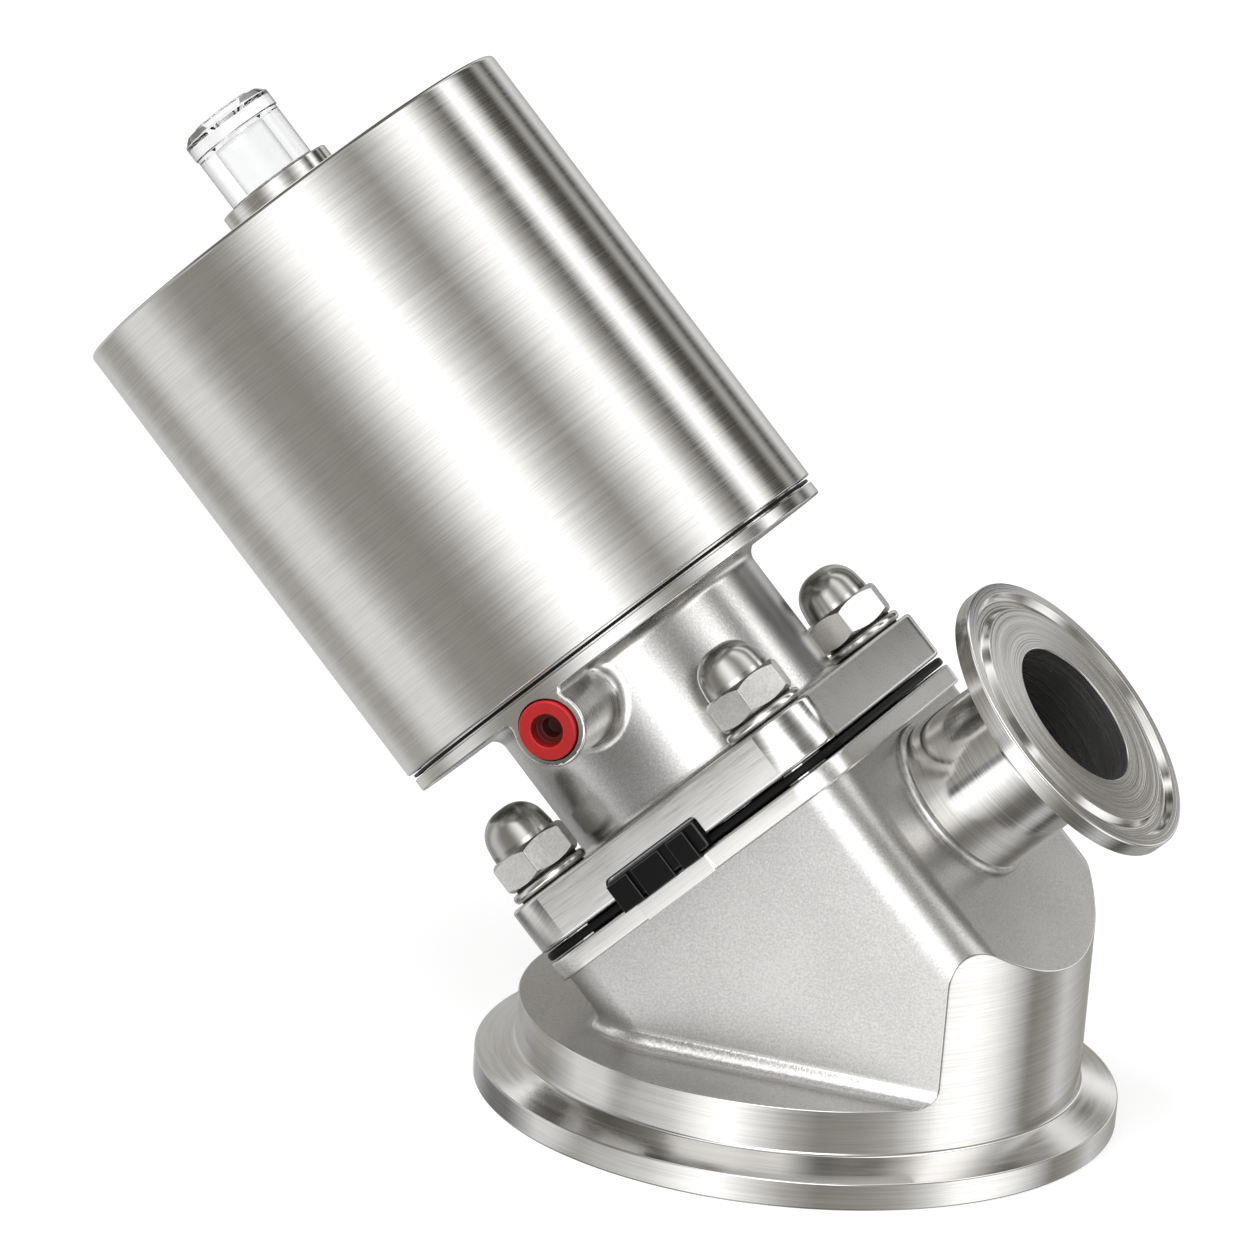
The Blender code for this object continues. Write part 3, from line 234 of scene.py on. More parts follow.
def turned_finish(name, axis, light=0.68, dark=0.56, rough=0.1, groove=0.3, sheen=0.0, metal=1.0):
    """Stainless steel that was turned or brushed round an axis: fine lines that run round it.
    A facing cut leaves closer marks too, whose sheen turns with the light."""
    finish = Finish(name, Metallic=metal)
    u, v, w = finish.parts(finish.place(axis))
    radius = finish.maths("SQRT", u * u + v * v)
    across = w + radius * 0.73
    fine = finish.noise(finish.vector(u * 0.05, v * 0.05, across / groove), 1.0, 3.0, 0.65)
    broad = finish.noise(finish.vector(u * 0.02, v * 0.02, across * 0.35), 1.0, 2.0)
    lines = fine * 0.86 + broad * 0.14
    share = finish.step(lines, 0.3, 0.7)
    finish.feed("Base Color", finish.blend(share, steel(dark), steel(light)))
    finish.feed("Roughness", rough + 0.08 * share)
    if sheen:
        close = finish.noise(finish.vector(0.0, 0.0, across * 7), 1.0, 1.0)
        lines = lines + close * (sheen / LATHE_DEPTH)
    finish.relief(lines, LATHE_DEPTH)
    return finish.material


def ground_finish(name, axis, turn, light, dark, rough):
    """Milled and ground stainless steel: straight fine lines along one direction."""
    finish = Finish(name, Metallic=1.0)
    u, v, w = finish.parts(finish.place(axis @ spin(turn, "Z")))
    fine = finish.noise(finish.vector(u * 0.12, v * 3.2, w * 3.2), 1.0, 3.0, 0.6)
    broad = finish.noise(finish.vector(u * 0.03, v * 0.3, w * 0.3), 1.0, 2.0)
    lines = fine * 0.8 + broad * 0.2
    share = finish.step(lines, 0.35, 0.65)
    finish.feed("Base Color", finish.blend(share, steel(dark), steel(light)))
    finish.feed("Roughness", rough + 0.1 * share)
    finish.relief(lines, GRIND_DEPTH)
    return finish.material


def blasted_finish(name, light=0.57, dark=0.43, rough=0.31, grain=0.33, depth=0.018):
    """Stainless steel under a blasted skin: shallow dimples and a soft, even sheen."""
    finish = Finish(name, Metallic=1.0)
    place = finish.place(TANK)
    dimples = finish.noise(place, 1 / grain, 2.0, 0.5, 0.6)
    cloud = finish.noise(place, 0.05, 2.0)
    share = finish.step(dimples * 0.7 + cloud * 0.3, 0.35, 0.65)
    finish.feed("Base Color", finish.blend(share, steel(dark, 0.965), steel(light, 0.965)))
    finish.feed("Roughness", rough + 0.1 * cloud)
    finish.relief(dimples, depth)
    return finish.material


def softened(corners, pieces=5):
    """Outline through (x, y, radius) corners, each rounded to its radius."""
    line = []
    for index, (x, y, radius) in enumerate(corners):
        if not radius:
            line.append((x, y))
            continue
        here = Vector((x, y))
        before = (Vector(corners[index - 1][:2]) - here).normalized()
        after = (Vector(corners[(index + 1) % len(corners)][:2]) - here).normalized()
        half = before.angle(after) / 2
        middle = here + (before + after).normalized() * radius / sin(half)
        start = here + before * radius / tan(half) - middle
        end = here + after * radius / tan(half) - middle
        first = atan2(start.y, start.x)
        sweep = (atan2(end.y, end.x) - first + pi) % (2 * pi) - pi
        for piece in range(pieces + 1):
            angle = first + sweep * piece / pieces
            line.append((middle.x + radius * cos(angle), middle.y + radius * sin(angle)))
    return line


def solid(name, shape):
    """Object from a finished mesh under edit."""
    mesh = bpy.data.meshes.new(name)
    shape.to_mesh(mesh)
    shape.free()
    return placed(name, mesh)


def loft(name, rows, ends=True, ring=False):
    """Solid through rows of points. A row of one point is a pole."""
    shape = bmesh.new()
    rows = [[shape.verts.new(point) for point in row] for row in rows]
    for low, high in zip(rows, rows[1:] + (rows[:1] if ring else [])):
        count = max(len(low), len(high))
        if count == 1:
            continue
        for index in range(count):
            after = (index + 1) % count
            corners = [low[index % len(low)], low[after % len(low)],
                       high[after % len(high)], high[index % len(high)]]
            shape.faces.new(list(dict.fromkeys(corners)))
    if ends and not ring:
        for row in (rows[0], rows[-1]):
            if len(row) > 2:
                shape.faces.new(row)
    bmesh.ops.recalc_face_normals(shape, faces=shape.faces)
    return solid(name, shape)


def circle(radius, height, axis=TANK, steps=72, phase=0.0):
    """Row of points round an axis frame. A circle without width is one point."""
    if not radius:
        return [axis @ Vector((0, 0, height))]
    angles = [2 * pi * index / steps + phase for index in range(steps)]
    return [axis @ Vector((radius * cos(angle), radius * sin(angle), height)) for angle in angles]


def turned(name, profile, axis=TANK, steps=192, phase=0.0):
    """Revolve (radius, height) points about an axis frame."""
    rows = [circle(radius, height, axis, steps, phase) for radius, height in profile]
    pole = len(rows[0]) == 1 or len(rows[-1]) == 1
    return loft(name, rows, ends=False, ring=not pole)


def rod(name, radius, low, high, axis, steps=32, phase=0.0):
    """Plain round rod between two heights of an axis frame."""
    return turned(name, [(0, high), (radius, high), (radius, low), (0, low)], axis, steps, phase)


def square_ring(half, corner, height, axis, pieces=12, inset=0.0):
    half, corner = half - inset, max(corner - inset, 0.01)
    ring = []
    for quarter, (side_x, side_y) in enumerate([(1, 1), (-1, 1), (-1, -1), (1, -1)]):
        for index in range(pieces + 1):
            angle = radians(90 * (quarter + index / pieces))
            ring.append(axis @ Vector((side_x * (half - corner) + corner * cos(angle),
                                       side_y * (half - corner) + corner * sin(angle),
                                       height)))
    return ring


def plate(name, half, corner, low, high, edge):
    """Square plate in the actuator frame, with rounded corners and softened edges."""
    rows = []
    for height, side in ((low, -1), (high, 1)):
        for angle in (0, 30, 60, 90):
            rise = edge * (1 - sin(radians(angle)))
            rows.append((height - side * rise, edge * (1 - cos(radians(angle)))))
    return loft(name, [square_ring(half, corner, height, ACTUATOR, inset=inset)
                       for height, inset in sorted(rows)])


def block(name, size, middle, edge=0.0, axis=ACTUATOR, pieces=2):
    """Rectangular block in an axis frame, with softened edges."""
    shape = bmesh.new()
    bmesh.ops.create_cube(shape, size=1, matrix=Matrix.Translation(middle)
                          @ Matrix.Diagonal((*size, 1)))
    if edge:
        bmesh.ops.bevel(shape, geom=shape.edges[:], offset=edge, segments=pieces, profile=0.5,
                        affect="EDGES")
    bmesh.ops.transform(shape, matrix=axis, verts=shape.verts)
    return solid(name, shape)


def settle(piece):
    """Make what the modifiers show the piece's own mesh."""
    bpy.context.view_layer.update()
    shown = piece.evaluated_get(bpy.context.evaluated_depsgraph_get())
    mesh = bpy.data.meshes.new_from_object(shown)
    piece.modifiers.clear()
    old, piece.data = piece.data, mesh
    mesh.name = piece.name
    bpy.data.meshes.remove(old)


def carve(piece, operation, *tools):
    """Cut tools away from a piece, join them to it, or keep what they share."""
    for tool in tools:
        modifier = piece.modifiers.new("carve", "BOOLEAN")
        modifier.operation, modifier.object, modifier.solver = operation, tool, "MANIFOLD"
    settle(piece)
    for tool in tools:
        bpy.data.objects.remove(tool, do_unlink=True)


def chamfer(piece, width, angle, keep):
    """Soften the sharp edges whose middle passes a test."""
    shape = bmesh.new()
    shape.from_mesh(piece.data)
    bmesh.ops.remove_doubles(shape, verts=shape.verts, dist=0.005)
    edges = [edge for edge in shape.edges if edge.is_manifold and edge.is_convex
             and edge.calc_face_angle() > radians(angle)
             and keep((edge.verts[0].co + edge.verts[1].co) / 2)]
    bmesh.ops.bevel(shape, geom=edges, offset=width, segments=2, profile=0.5,
                    affect="EDGES", clamp_overlap=False)
    shape.to_mesh(piece.data)
    shape.free()


def shade(piece, *finishes, angle=32):
    """Smooth curves, flat faces and crisp edges, with the finishes of a piece that has none."""
    if finishes:
        piece.data.materials.clear()
    for finish in finishes:
        piece.data.materials.append(finish)
    piece.data.shade_smooth()
    piece.data.set_sharp_from_angle(angle=radians(angle))
    weighted = piece.modifiers.new("weighted", "WEIGHTED_NORMAL")
    weighted.keep_sharp = True
    settle(piece)


def to_frame(piece):
    """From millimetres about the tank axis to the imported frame's metres."""
    piece.data.transform(Matrix.Scale(MM, 4) @ shift(TANK_AXIS_X, 0, 0))


def drill_studs(piece, low, high):
    """Clear the four stud holes through a piece."""
    for side_u, side_v in ((-1, -1), (1, -1), (1, 1), (-1, 1)):
        place = ACTUATOR @ shift(side_u * BOLT_HALF, side_v * BOLT_HALF, 0)
        carve(piece, "DIFFERENCE", rod("stud_hole", STUD_HOLE, low, high, place))


def vectors(items, name):
    """A vector that each of a mesh's items holds, one in a row."""
    values = np.empty(len(items) * 3)
    items.foreach_get(name, values)
    return values.reshape(-1, 3)


def face_field(piece, axis=TANK):
    """Middles and outward directions of a piece's faces, seen from an axis frame."""
    faces, turn = piece.data.polygons, np.array(axis.to_3x3())
    middles = vectors(faces, "center") - np.array(axis.translation)
    return middles @ turn, vectors(faces, "normal") @ turn


def paint(piece, numbers):
    piece.data.polygons.foreach_set("material_index", np.asarray(numbers, np.int32))
    piece.data.update()


def leaning_row(height, outset):
    """Level section of the leaning block."""
    lean = height - CROSSING
    ring = square_ring(BLOCK_HALF + outset, BLOCK_CORNER + outset, 0, TANK, 14)
    return [Vector((point.x * sqrt(2) - lean, point.y, height)) for point in ring]


def dish(depth, low, first, last, count):
    """Profile of a round bowl, as deep as stated at the seat's radius."""
    sphere = (SEAT_RADIUS ** 2 + depth ** 2) / (2 * depth)
    return [(radius, low + sphere - sqrt(sphere ** 2 - radius ** 2))
            for radius in np.linspace(first, last, count)]


cone_top = FERRULE_RIM + (FERRULE_RADIUS - BODY_RADIUS) * tan(FERRULE_SLOPE)
body = turned("valve_body_steel", softened([
    (0, 90, 0), (BODY_RADIUS, 90, 0), (BODY_RADIUS, cone_top, 0.7),
    (FERRULE_RADIUS, FERRULE_RIM, 0.35), (FERRULE_RADIUS, 0, 0.4),
    (TANK_GROOVE + GROOVE_HALF, 0, 0.15), (TANK_GROOVE + GROOVE_HALF / 2, GROOVE_DEPTH, 0.2),
    (TANK_GROOVE - GROOVE_HALF / 2, GROOVE_DEPTH, 0.2), (TANK_GROOVE - GROOVE_HALF, 0, 0.15),
    (0, 0, 0)]), steps=320)

rows = [leaning_row(SHELF - 1, BLOCK_FILLET)]
for angle in np.radians(np.linspace(0, 90, 9)):
    rows.append(leaning_row(SHELF + BLOCK_FILLET * (1 - cos(angle)),
                            BLOCK_FILLET * (1 - sin(angle))))
top_ring = square_ring(BLOCK_HALF, BLOCK_CORNER, BODY_FLANGE_LOW + 1, ACTUATOR, 14)
for share in (0.25, 0.5, 0.75, 1):
    rows.append([low.lerp(high, share) for low, high in zip(rows[9], top_ring)])
milled = block("milled", (200, 200, 100), (0, 0, SHELF + 50), axis=TANK)
carve(milled, "DIFFERENCE", loft("leaning_block", rows))
carve(body, "DIFFERENCE", milled)
chamfer(body, 0.22, 24, lambda point: point.z > SHELF - 0.1 and
        abs(hypot(point.x, point.y) - BODY_RADIUS) < 0.05)

bowl = [(0, SEAT_PLANE + 2), (SEAT_RADIUS, SEAT_PLANE + 2)]
bowl += dish(SEAT_DEPTH, SEAT_PLANE - SEAT_DEPTH, SEAT_RADIUS, 0, 13)
funnel = []
for height in (-1, FUNNEL_TOP):
    share = height / FUNNEL_TOP
    way_x = -WAY_OFFSET * sqrt(2) + CROSSING - FUNNEL_TOP
    half_x = FUNNEL_MOUTH + (FUNNEL_NECK * sqrt(2) - FUNNEL_MOUTH) * share
    half_y = FUNNEL_MOUTH + (FUNNEL_NECK - FUNNEL_MOUTH) * share
    funnel.append([(way_x * share + half_x * cos(radians(5 * index)),
                    half_y * sin(radians(5 * index)), height) for index in range(72)])
side = shift(WAY_OFFSET, 0, 0)
carve(body, "UNION", plate("body_flange", FLANGE_HALF, FLANGE_CORNER, BODY_FLANGE_LOW,
                           SEAT_PLANE, FLANGE_EDGE),
      block("tag_pad", (15, 4, 3.1), (TAG_MIDDLE, 2 - FLANGE_HALF - 0.4, 14.62), 0.15))
carve(body, "DIFFERENCE", turned("bowl", bowl, ACTUATOR, 96, 0.03),
      rod("tank_way", WAY_RADIUS, -16, WAY_TOP, ACTUATOR @ side.inverted(), 64, 0.02),
      loft("funnel", funnel),
      rod("riser", WAY_RADIUS, 0, WAY_TOP, ACTUATOR @ side, 64, 0.02),
      turned("outlet_way", [(0, 65), (OUTLET_WAY, 65)]
             + [(OUTLET_WAY * cos(radians(a)), OUTLET_BEND - OUTLET_WAY * sin(radians(a)))
                for a in range(0, 81, 10)] + [(0, OUTLET_BEND - OUTLET_WAY)], OUTLET, 96, 0.02))
drill_studs(body, 6.3, 20)
shade(body, turned_finish("turned_body_steel", TANK, rough=0.08),
      blasted_finish("blasted_body_steel"),
      ground_finish("milled_flange_steel", ACTUATOR, 0, 0.8, 0.69, 0.27),
      turned_finish("bored_steel", OUTLET, 0.46, 0.34, 0.2, metal=0.9),
      blasted_finish("blasted_fillet_steel", 0.78, 0.6, 0.2, 0.5, 0.035),
      turned_finish("turned_slope_steel", TANK, rough=0.13))
middles, normals = face_field(body)
radii = np.hypot(middles[:, 0], middles[:, 1])
rise = normals[:, 2]
hollow = (middles[:, 2] < SHELF + BLOCK_FILLET) & (rise > 0.12) & (rise < 0.93)
slope = (middles[:, 2] < cone_top) & (radii > BODY_RADIUS) & (rise > 0.9) & (rise < 0.98)
up, normals = face_field(body, ACTUATOR)
flange = up[:, 2] > BODY_FLANGE_LOW - 0.01
outside = (np.abs(radii - BODY_RADIUS) < 0.3) | (middles[:, 2] < SHELF - 0.3)
bored = (np.hypot(up[:, 1], up[:, 2] + OUTLET_DROP) < OUTLET_WAY + 0.1) & (up[:, 0] > 2)
bored &= normals[:, 0] < 0.5
paint(body, np.select([bored, slope, outside, flange, hollow], [3, 5, 0, 2, 4], 1))
to_frame(body)
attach(body, "valve")
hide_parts("valve_body")


# Outlet
# A rolled tube with a clamp ferrule turned on its end. It is welded to the body's right face,
# and the weld stands as a narrow bead round its root.
TUBE, OUTLET_FOOT, OUTLET_FACE = 13.5, 31.6, 57.0
CLAMP_RADIUS, CLAMP_RIM, CLAMP_GROOVE = 25.25, 2.9, 21.75
rim_low = OUTLET_FACE - CLAMP_RIM
slope_low = rim_low - (CLAMP_RADIUS - TUBE - 2) * tan(FERRULE_SLOPE)
bead = [(TUBE + 1.1 * cos(radians(a)), OUTLET_FOOT + 1.1 * sin(radians(a)))
        for a in range(75, -16, -15)]
spigot = turned("outlet_tube", softened([
    (OUTLET_WAY, OUTLET_FACE, 0.25), (CLAMP_GROOVE - GROOVE_HALF, OUTLET_FACE, 0.12),
    (CLAMP_GROOVE - GROOVE_HALF / 2, OUTLET_FACE - GROOVE_DEPTH, 0.2),
    (CLAMP_GROOVE + GROOVE_HALF / 2, OUTLET_FACE - GROOVE_DEPTH, 0.2),
    (CLAMP_GROOVE + GROOVE_HALF, OUTLET_FACE, 0.12), (CLAMP_RADIUS, OUTLET_FACE, 0.4),
    (CLAMP_RADIUS, rim_low, 0.3), (TUBE, slope_low - 0.7, 2.2)] + [(r, h, 0) for r, h in bead]
    + [(OUTLET_WAY, OUTLET_FOOT - 0.28, 0)]), OUTLET, 256)
shade(spigot, turned_finish("turned_outlet_steel", OUTLET, light=0.7, dark=0.56, rough=0.09),
      blasted_finish("weld_steel", rough=0.28, grain=1.2),
      turned_finish("faced_outlet_steel", OUTLET, light=0.7, dark=0.58, rough=0.13, sheen=0.04),
      turned_finish("bored_outlet_steel", OUTLET, 0.46, 0.34, 0.2, metal=0.9))
up, normals = face_field(spigot, OUTLET)
weld = (np.hypot(up[:, 0], up[:, 1]) > TUBE - 0.05) & (up[:, 2] < OUTLET_FOOT + 1.15)
inner = np.hypot(up[:, 0], up[:, 1]) < OUTLET_WAY + 0.1
paint(spigot, np.select([weld, inner, normals[:, 2] > 0.97], [1, 3, 2], 0))
to_frame(spigot)
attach(spigot, "valve")
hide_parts("outlet_spigot")


# Diaphragm
# Moulded black rubber. Its rim is squeezed between the flanges and shows as a black line, and a
# three-part tag stands out of the rim over the front edge. The thin bowl is a piece of its own.
RIM_LOW, RIM_HIGH, RIM_HALF, RIM_LAP = 16.9, 18.3, 32.2, 1.1
BOWL_THICKNESS, BOWL_BOSS = 2.4, 3.7
HEEL_MIDDLE, HEEL_HEIGHT, TAG_LEVEL, TAG_HEIGHT = 19.35, 4.9, 18.75, 5.2
TAG_ROOT, TAG_FRONT = -32.9, -34.2


def moulded_rubber(name, light=0.0035, sheen=0.14):
    """Black rubber: nearly matt, with the fine grain of its mould."""
    finish = Finish(name, Specular_IOR_Level=sheen)
    place = finish.place(ACTUATOR)
    cloud = finish.noise(place, 0.3, 2.0)
    finish.feed("Base Color", finish.blend(cloud, (light * 0.6,) * 3 + (1,),
                                           (light * 1.4,) * 3 + (1,)))
    finish.feed("Roughness", 0.36 + 0.2 * cloud)
    finish.relief(finish.noise(place, 5.0, 3.0), 0.008)
    return finish.material


rubber = moulded_rubber("moulded_rubber")
# Painted highlight: the tag's rounded front edges get a lighter grey colour. Their stronger gloss is
# real.
painted_highlight_rubber = moulded_rubber("worn_rubber_edge", 0.05, 0.4)
diaphragm = plate("diaphragm_rubber", RIM_HALF, FLANGE_CORNER - 0.3, RIM_LOW, RIM_HIGH, 0.5)
carve(diaphragm, "DIFFERENCE",
      rod("diaphragm_opening", SEAT_RADIUS - RIM_LAP + 0.1, 0, 40, ACTUATOR, 96, 0.02))
drill_studs(diaphragm, 8, 30)
heel = block("tag_heel", (19, 3.0, HEEL_HEIGHT), (TAG_MIDDLE, -31.9, HEEL_MIDDLE), 0.45, pieces=4)
carve(diaphragm, "UNION", heel)
for name, low, high, front in (("tag_left", -9.5, -5.1, TAG_FRONT),
                               ("tag_centre", -4.4, 1.7, TAG_FRONT + 0.4),
                               ("tag_right", 3.6, 7.4, TAG_FRONT)):
    carve(diaphragm, "UNION",
          block(name, (high - low, TAG_ROOT - front, TAG_HEIGHT),
                (TAG_MIDDLE + (low + high) / 2, (front + TAG_ROOT) / 2, TAG_LEVEL), 0.16, pieces=3))
shade(diaphragm, rubber, painted_highlight_rubber)
middles, normals = face_field(diaphragm, ACTUATOR)
# The tag's rounded front edges take the painted highlight.
edge = (middles[:, 1] < -33) & (np.abs(normals[:, 1]) > 0.3) & (np.abs(normals[:, 1]) < 0.97)
paint(diaphragm, edge)

bowl_low = RIM_LOW - SEAT_DEPTH
bowl_back, bowl_edge = bowl_low + BOWL_THICKNESS, SEAT_RADIUS - RIM_LAP
membrane = turned("diaphragm_bowl", [(0, bowl_low + 1), (BOWL_BOSS, bowl_low + 1)]
                  + dish(RIM_HIGH - bowl_back, bowl_back, BOWL_BOSS, bowl_edge, 12)
                  + dish(SEAT_DEPTH, bowl_low, bowl_edge, 0, 12), ACTUATOR, 96, 0.02)
shade(membrane, rubber)
for piece in (diaphragm, membrane):
    to_frame(piece)
    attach(piece, "valve")
    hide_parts("diaphragm")
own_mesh(membrane)


# Bonnet
# A steel casting: the neck and the hollow fillets beside the pilot boss keep the blasted skin. The
# square flange and the boss's face are ground, and the base disc's rim and the boss's side are
# turned.
BONNET_LOW, BONNET_TOP, NECK_RADIUS = 18.6, 27.1, 25.435
DISC_LOW, DISC_TOP, DISC_RADIUS = 51.6, 53.8, 40.5
PORT_RADIUS, PORT_BORE, AIR_WAY = 6.3, 5.2, 1.8
SPIGOT_TOP, SPIGOT_RADIUS = 61.8, 38.6
NECK_FILLET, BOSS_FILLET, FOOT_FILLET = 2.4, 2.0, 1.2
SKIN_CELL = 0.42


def round_union(first, second, radius):
    """Distance to two joined shapes with a hollow fillet between them."""
    return (np.maximum(radius, np.minimum(first, second))
            - np.hypot(np.maximum(radius - first, 0), np.maximum(radius - second, 0)))


def round_cut(first, second, radius):
    """Distance to what two shapes share, with a softened edge."""
    return -round_union(-first, -second, radius)


def bonnet_distance(points):
    """Signed distance to the casting, for points on the actuator axis."""
    u, v, w = points.T
    reach = np.hypot(u, v)
    shape = round_union(reach - NECK_RADIUS, DISC_LOW - w, NECK_FILLET)
    boss = np.maximum(np.hypot(u, w - PORT_HEIGHT) - PORT_RADIUS, v)
    shape = round_union(shape, boss, BOSS_FILLET)
    foot = np.maximum(w - BONNET_TOP + 0.03, reach - 30)
    shape = round_union(shape, foot, FOOT_FILLET)
    shape = round_cut(shape, reach - DISC_RADIUS, 0.4)
    shape = round_cut(shape, w - DISC_TOP, 0.3)
    return np.maximum(shape, BONNET_TOP - 3 - w)


def notch_row(v, grow):
    """Rounded outline of the notch behind the rubber tag, at one depth."""
    half_u, half_w, corner = 9.8 + grow, 2.75 + grow, 0.8 + grow
    return [ACTUATOR @ Vector((TAG_MIDDLE + x * (half_u - corner) + corner * cos(a), v,
                               HEEL_MIDDLE + y * (half_w - corner) + corner * sin(a)))
            for quarter, (x, y) in enumerate([(1, 1), (-1, 1), (-1, -1), (1, -1)])
            for a in np.radians(90 * quarter + np.arange(0, 91, 15))]


def bonnet_slope(points):
    step = 0.02
    slope = np.stack([bonnet_distance(points + step * axis) - bonnet_distance(points - step * axis)
                      for axis in np.eye(3)], axis=1)
    return slope / np.maximum(np.linalg.norm(slope, axis=1, keepdims=True), 1e-9)


casting = turned("bonnet_casting", [(0, DISC_TOP), (DISC_RADIUS, DISC_TOP), (DISC_RADIUS, DISC_LOW),
                                    (NECK_RADIUS + 1, DISC_LOW - 0.6), (NECK_RADIUS, DISC_LOW - 2),
                                    (NECK_RADIUS, BONNET_TOP + 0.6), (30, BONNET_TOP),
                                    (30, BONNET_TOP - 3), (0, BONNET_TOP - 3)], TANK, 128)
carve(casting, "UNION", rod("boss", PORT_RADIUS, 12, 40.4, TO_PORT, 48, 0.02))
remesh = casting.modifiers.new("skin", "REMESH")
remesh.mode, remesh.voxel_size = "VOXEL", SKIN_CELL
settle(casting)
points = vectors(casting.data.vertices, "co")
for _ in range(6):
    points -= bonnet_distance(points)[:, None] * bonnet_slope(points)
casting.data.vertices.foreach_set("co", points.ravel())
casting.data.transform(ACTUATOR)

carve(casting, "UNION",
      plate("bonnet_flange", FLANGE_HALF, FLANGE_CORNER, BONNET_LOW, BONNET_TOP, 0.7),
      turned("spigot", softened([(0, SPIGOT_TOP, 0), (SPIGOT_RADIUS, SPIGOT_TOP, 0.5),
                                 (SPIGOT_RADIUS, 58.9, 0), (37.8, 58.9, 0), (37.8, 56.7, 0),
                                 (SPIGOT_RADIUS, 56.7, 0), (SPIGOT_RADIUS, 52.6, 0), (0, 52.6, 0)]),
             ACTUATOR, 128, 0.01),
      turned("disc_rim", softened([
          (30, DISC_TOP, 0), (DISC_RADIUS + 0.03, DISC_TOP, 0.25),
          (DISC_RADIUS + 0.03, DISC_LOW - 0.03, 0.4), (38.2, DISC_LOW - 0.03, 0.15),
          (37.6, DISC_LOW + 0.4, 0), (30, DISC_LOW + 0.4, 0)], 4), ACTUATOR, 256, 0.015))
carve(casting, "DIFFERENCE",
      turned("inside", [(0, 64), (6.3, 64), (6.3, 57.4), (10.3, 57.4), (10.3, 38.1),
                        (20.535, 34.1), (20.535, 16), (0, 16)], ACTUATOR, 96, 0.03),
      rod("air_up", AIR_WAY, 46.2, 64, ACTUATOR @ shift(0, -19.435, 0), 24, 0.02),
      loft("tag_notch", [notch_row(v, grow) for v, grow in
                         ((-FLANGE_HALF - 0.7, 0.7), (-FLANGE_HALF + 0.4, 0), (-31.3, 0))]),
      turned("port_bore", [(0, 44), (PORT_BORE, 44), (PORT_BORE, 31.8), (AIR_WAY, 31.8),
                           (AIR_WAY, 16.5), (0, 16.5)], PORT, 96, 0.04))
drill_studs(casting, 16, 30)
shade(casting, blasted_finish("cast_neck_steel", 0.62, 0.5, 0.21, 0.33, 0.007),
      turned_finish("turned_disc_steel", ACTUATOR, light=0.68, dark=0.58),
      ground_finish("ground_flange_steel", ACTUATOR, 0, 0.8, 0.69, 0.27),
      turned_finish("turned_boss_steel", PORT, light=0.58, dark=0.48, rough=0.25))

mesh = casting.data
corner_points = np.empty(len(mesh.loops), np.int32)
mesh.loops.foreach_get("vertex_index", corner_points)
turn = np.array(ACTUATOR.to_3x3())
points = (vectors(mesh.vertices, "co") - np.array(ACTUATOR.translation)) @ turn
corner_normals = vectors(mesh.corner_normals, "vector")
true_normals = bonnet_slope(points) @ turn.T
on_skin = (np.abs(bonnet_distance(points)) < 0.01) & (points[:, 2] > BONNET_TOP + 0.01)
true_corners = true_normals[corner_points]
close = on_skin[corner_points] & ((true_corners * corner_normals).sum(axis=1) > 0.7)
corner_normals[close] = true_corners[close]
mesh.normals_split_custom_set(corner_normals.tolist())

middles, normals = face_field(casting, ACTUATOR)
reach = np.hypot(middles[:, 0], middles[:, 1])
rim = (reach > DISC_RADIUS - 0.25) | (middles[:, 2] > DISC_TOP - 0.2) | (
    (reach > 38.25) & (np.abs(middles[:, 2] - DISC_LOW) < 0.1))
flange = middles[:, 2] < BONNET_TOP + 0.005
boss = (np.hypot(middles[:, 0], middles[:, 2] - PORT_HEIGHT) < PORT_RADIUS + 0.3) & (
    middles[:, 1] < -NECK_RADIUS - 0.8)
paint(casting, np.select([rim, flange | (boss & (normals[:, 1] < -0.9)), boss], [1, 2, 3], 0))
to_frame(casting)
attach(casting, "valve")
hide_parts("bonnet")


# Pilot plug
# A red plastic plug closes the pilot port for transport. It is moulded, with a rounded ring face
# and a stepped hole that a key goes into.
plug = turned("pilot_plug_plastic", softened([
    (0, 36.1, 0), (1.67, 36.1, 0.15), (1.67, 38.7, 0.12), (2.7, 38.7, 0.15), (2.7, 41.1, 0.3),
    (4.9, 41.1, 0.35), (4.9, 32.1, 0.3), (0, 32.1, 0)], 4), PORT, 96)
red = Finish("red_plastic_moulded", Roughness=0.3)
place = red.place(PORT)
u, v, w = red.parts(place)
# Painted shade: the key hole's inside goes near black, and the plug's side deep in the port goes
# darker red.
depth = red.step(red.maths("SQRT", u * u + v * v), 2.5, 2.9, 0.3, 1.0) * red.step(w, 38, 42, 0.6, 1.0)
mottle = red.blend(red.noise(place, 0.8, 3.0), (0.60, 0.008, 0.010, 1), (0.74, 0.014, 0.016, 1))
red.feed("Base Color", red.blend(depth, (0.01, 0, 0, 1), mottle))
red.relief(red.noise(place, 4.0, 2.0), 0.006)
shade(plug, red.material)
to_frame(plug)
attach(plug, "plug")
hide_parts("pilot_plug")


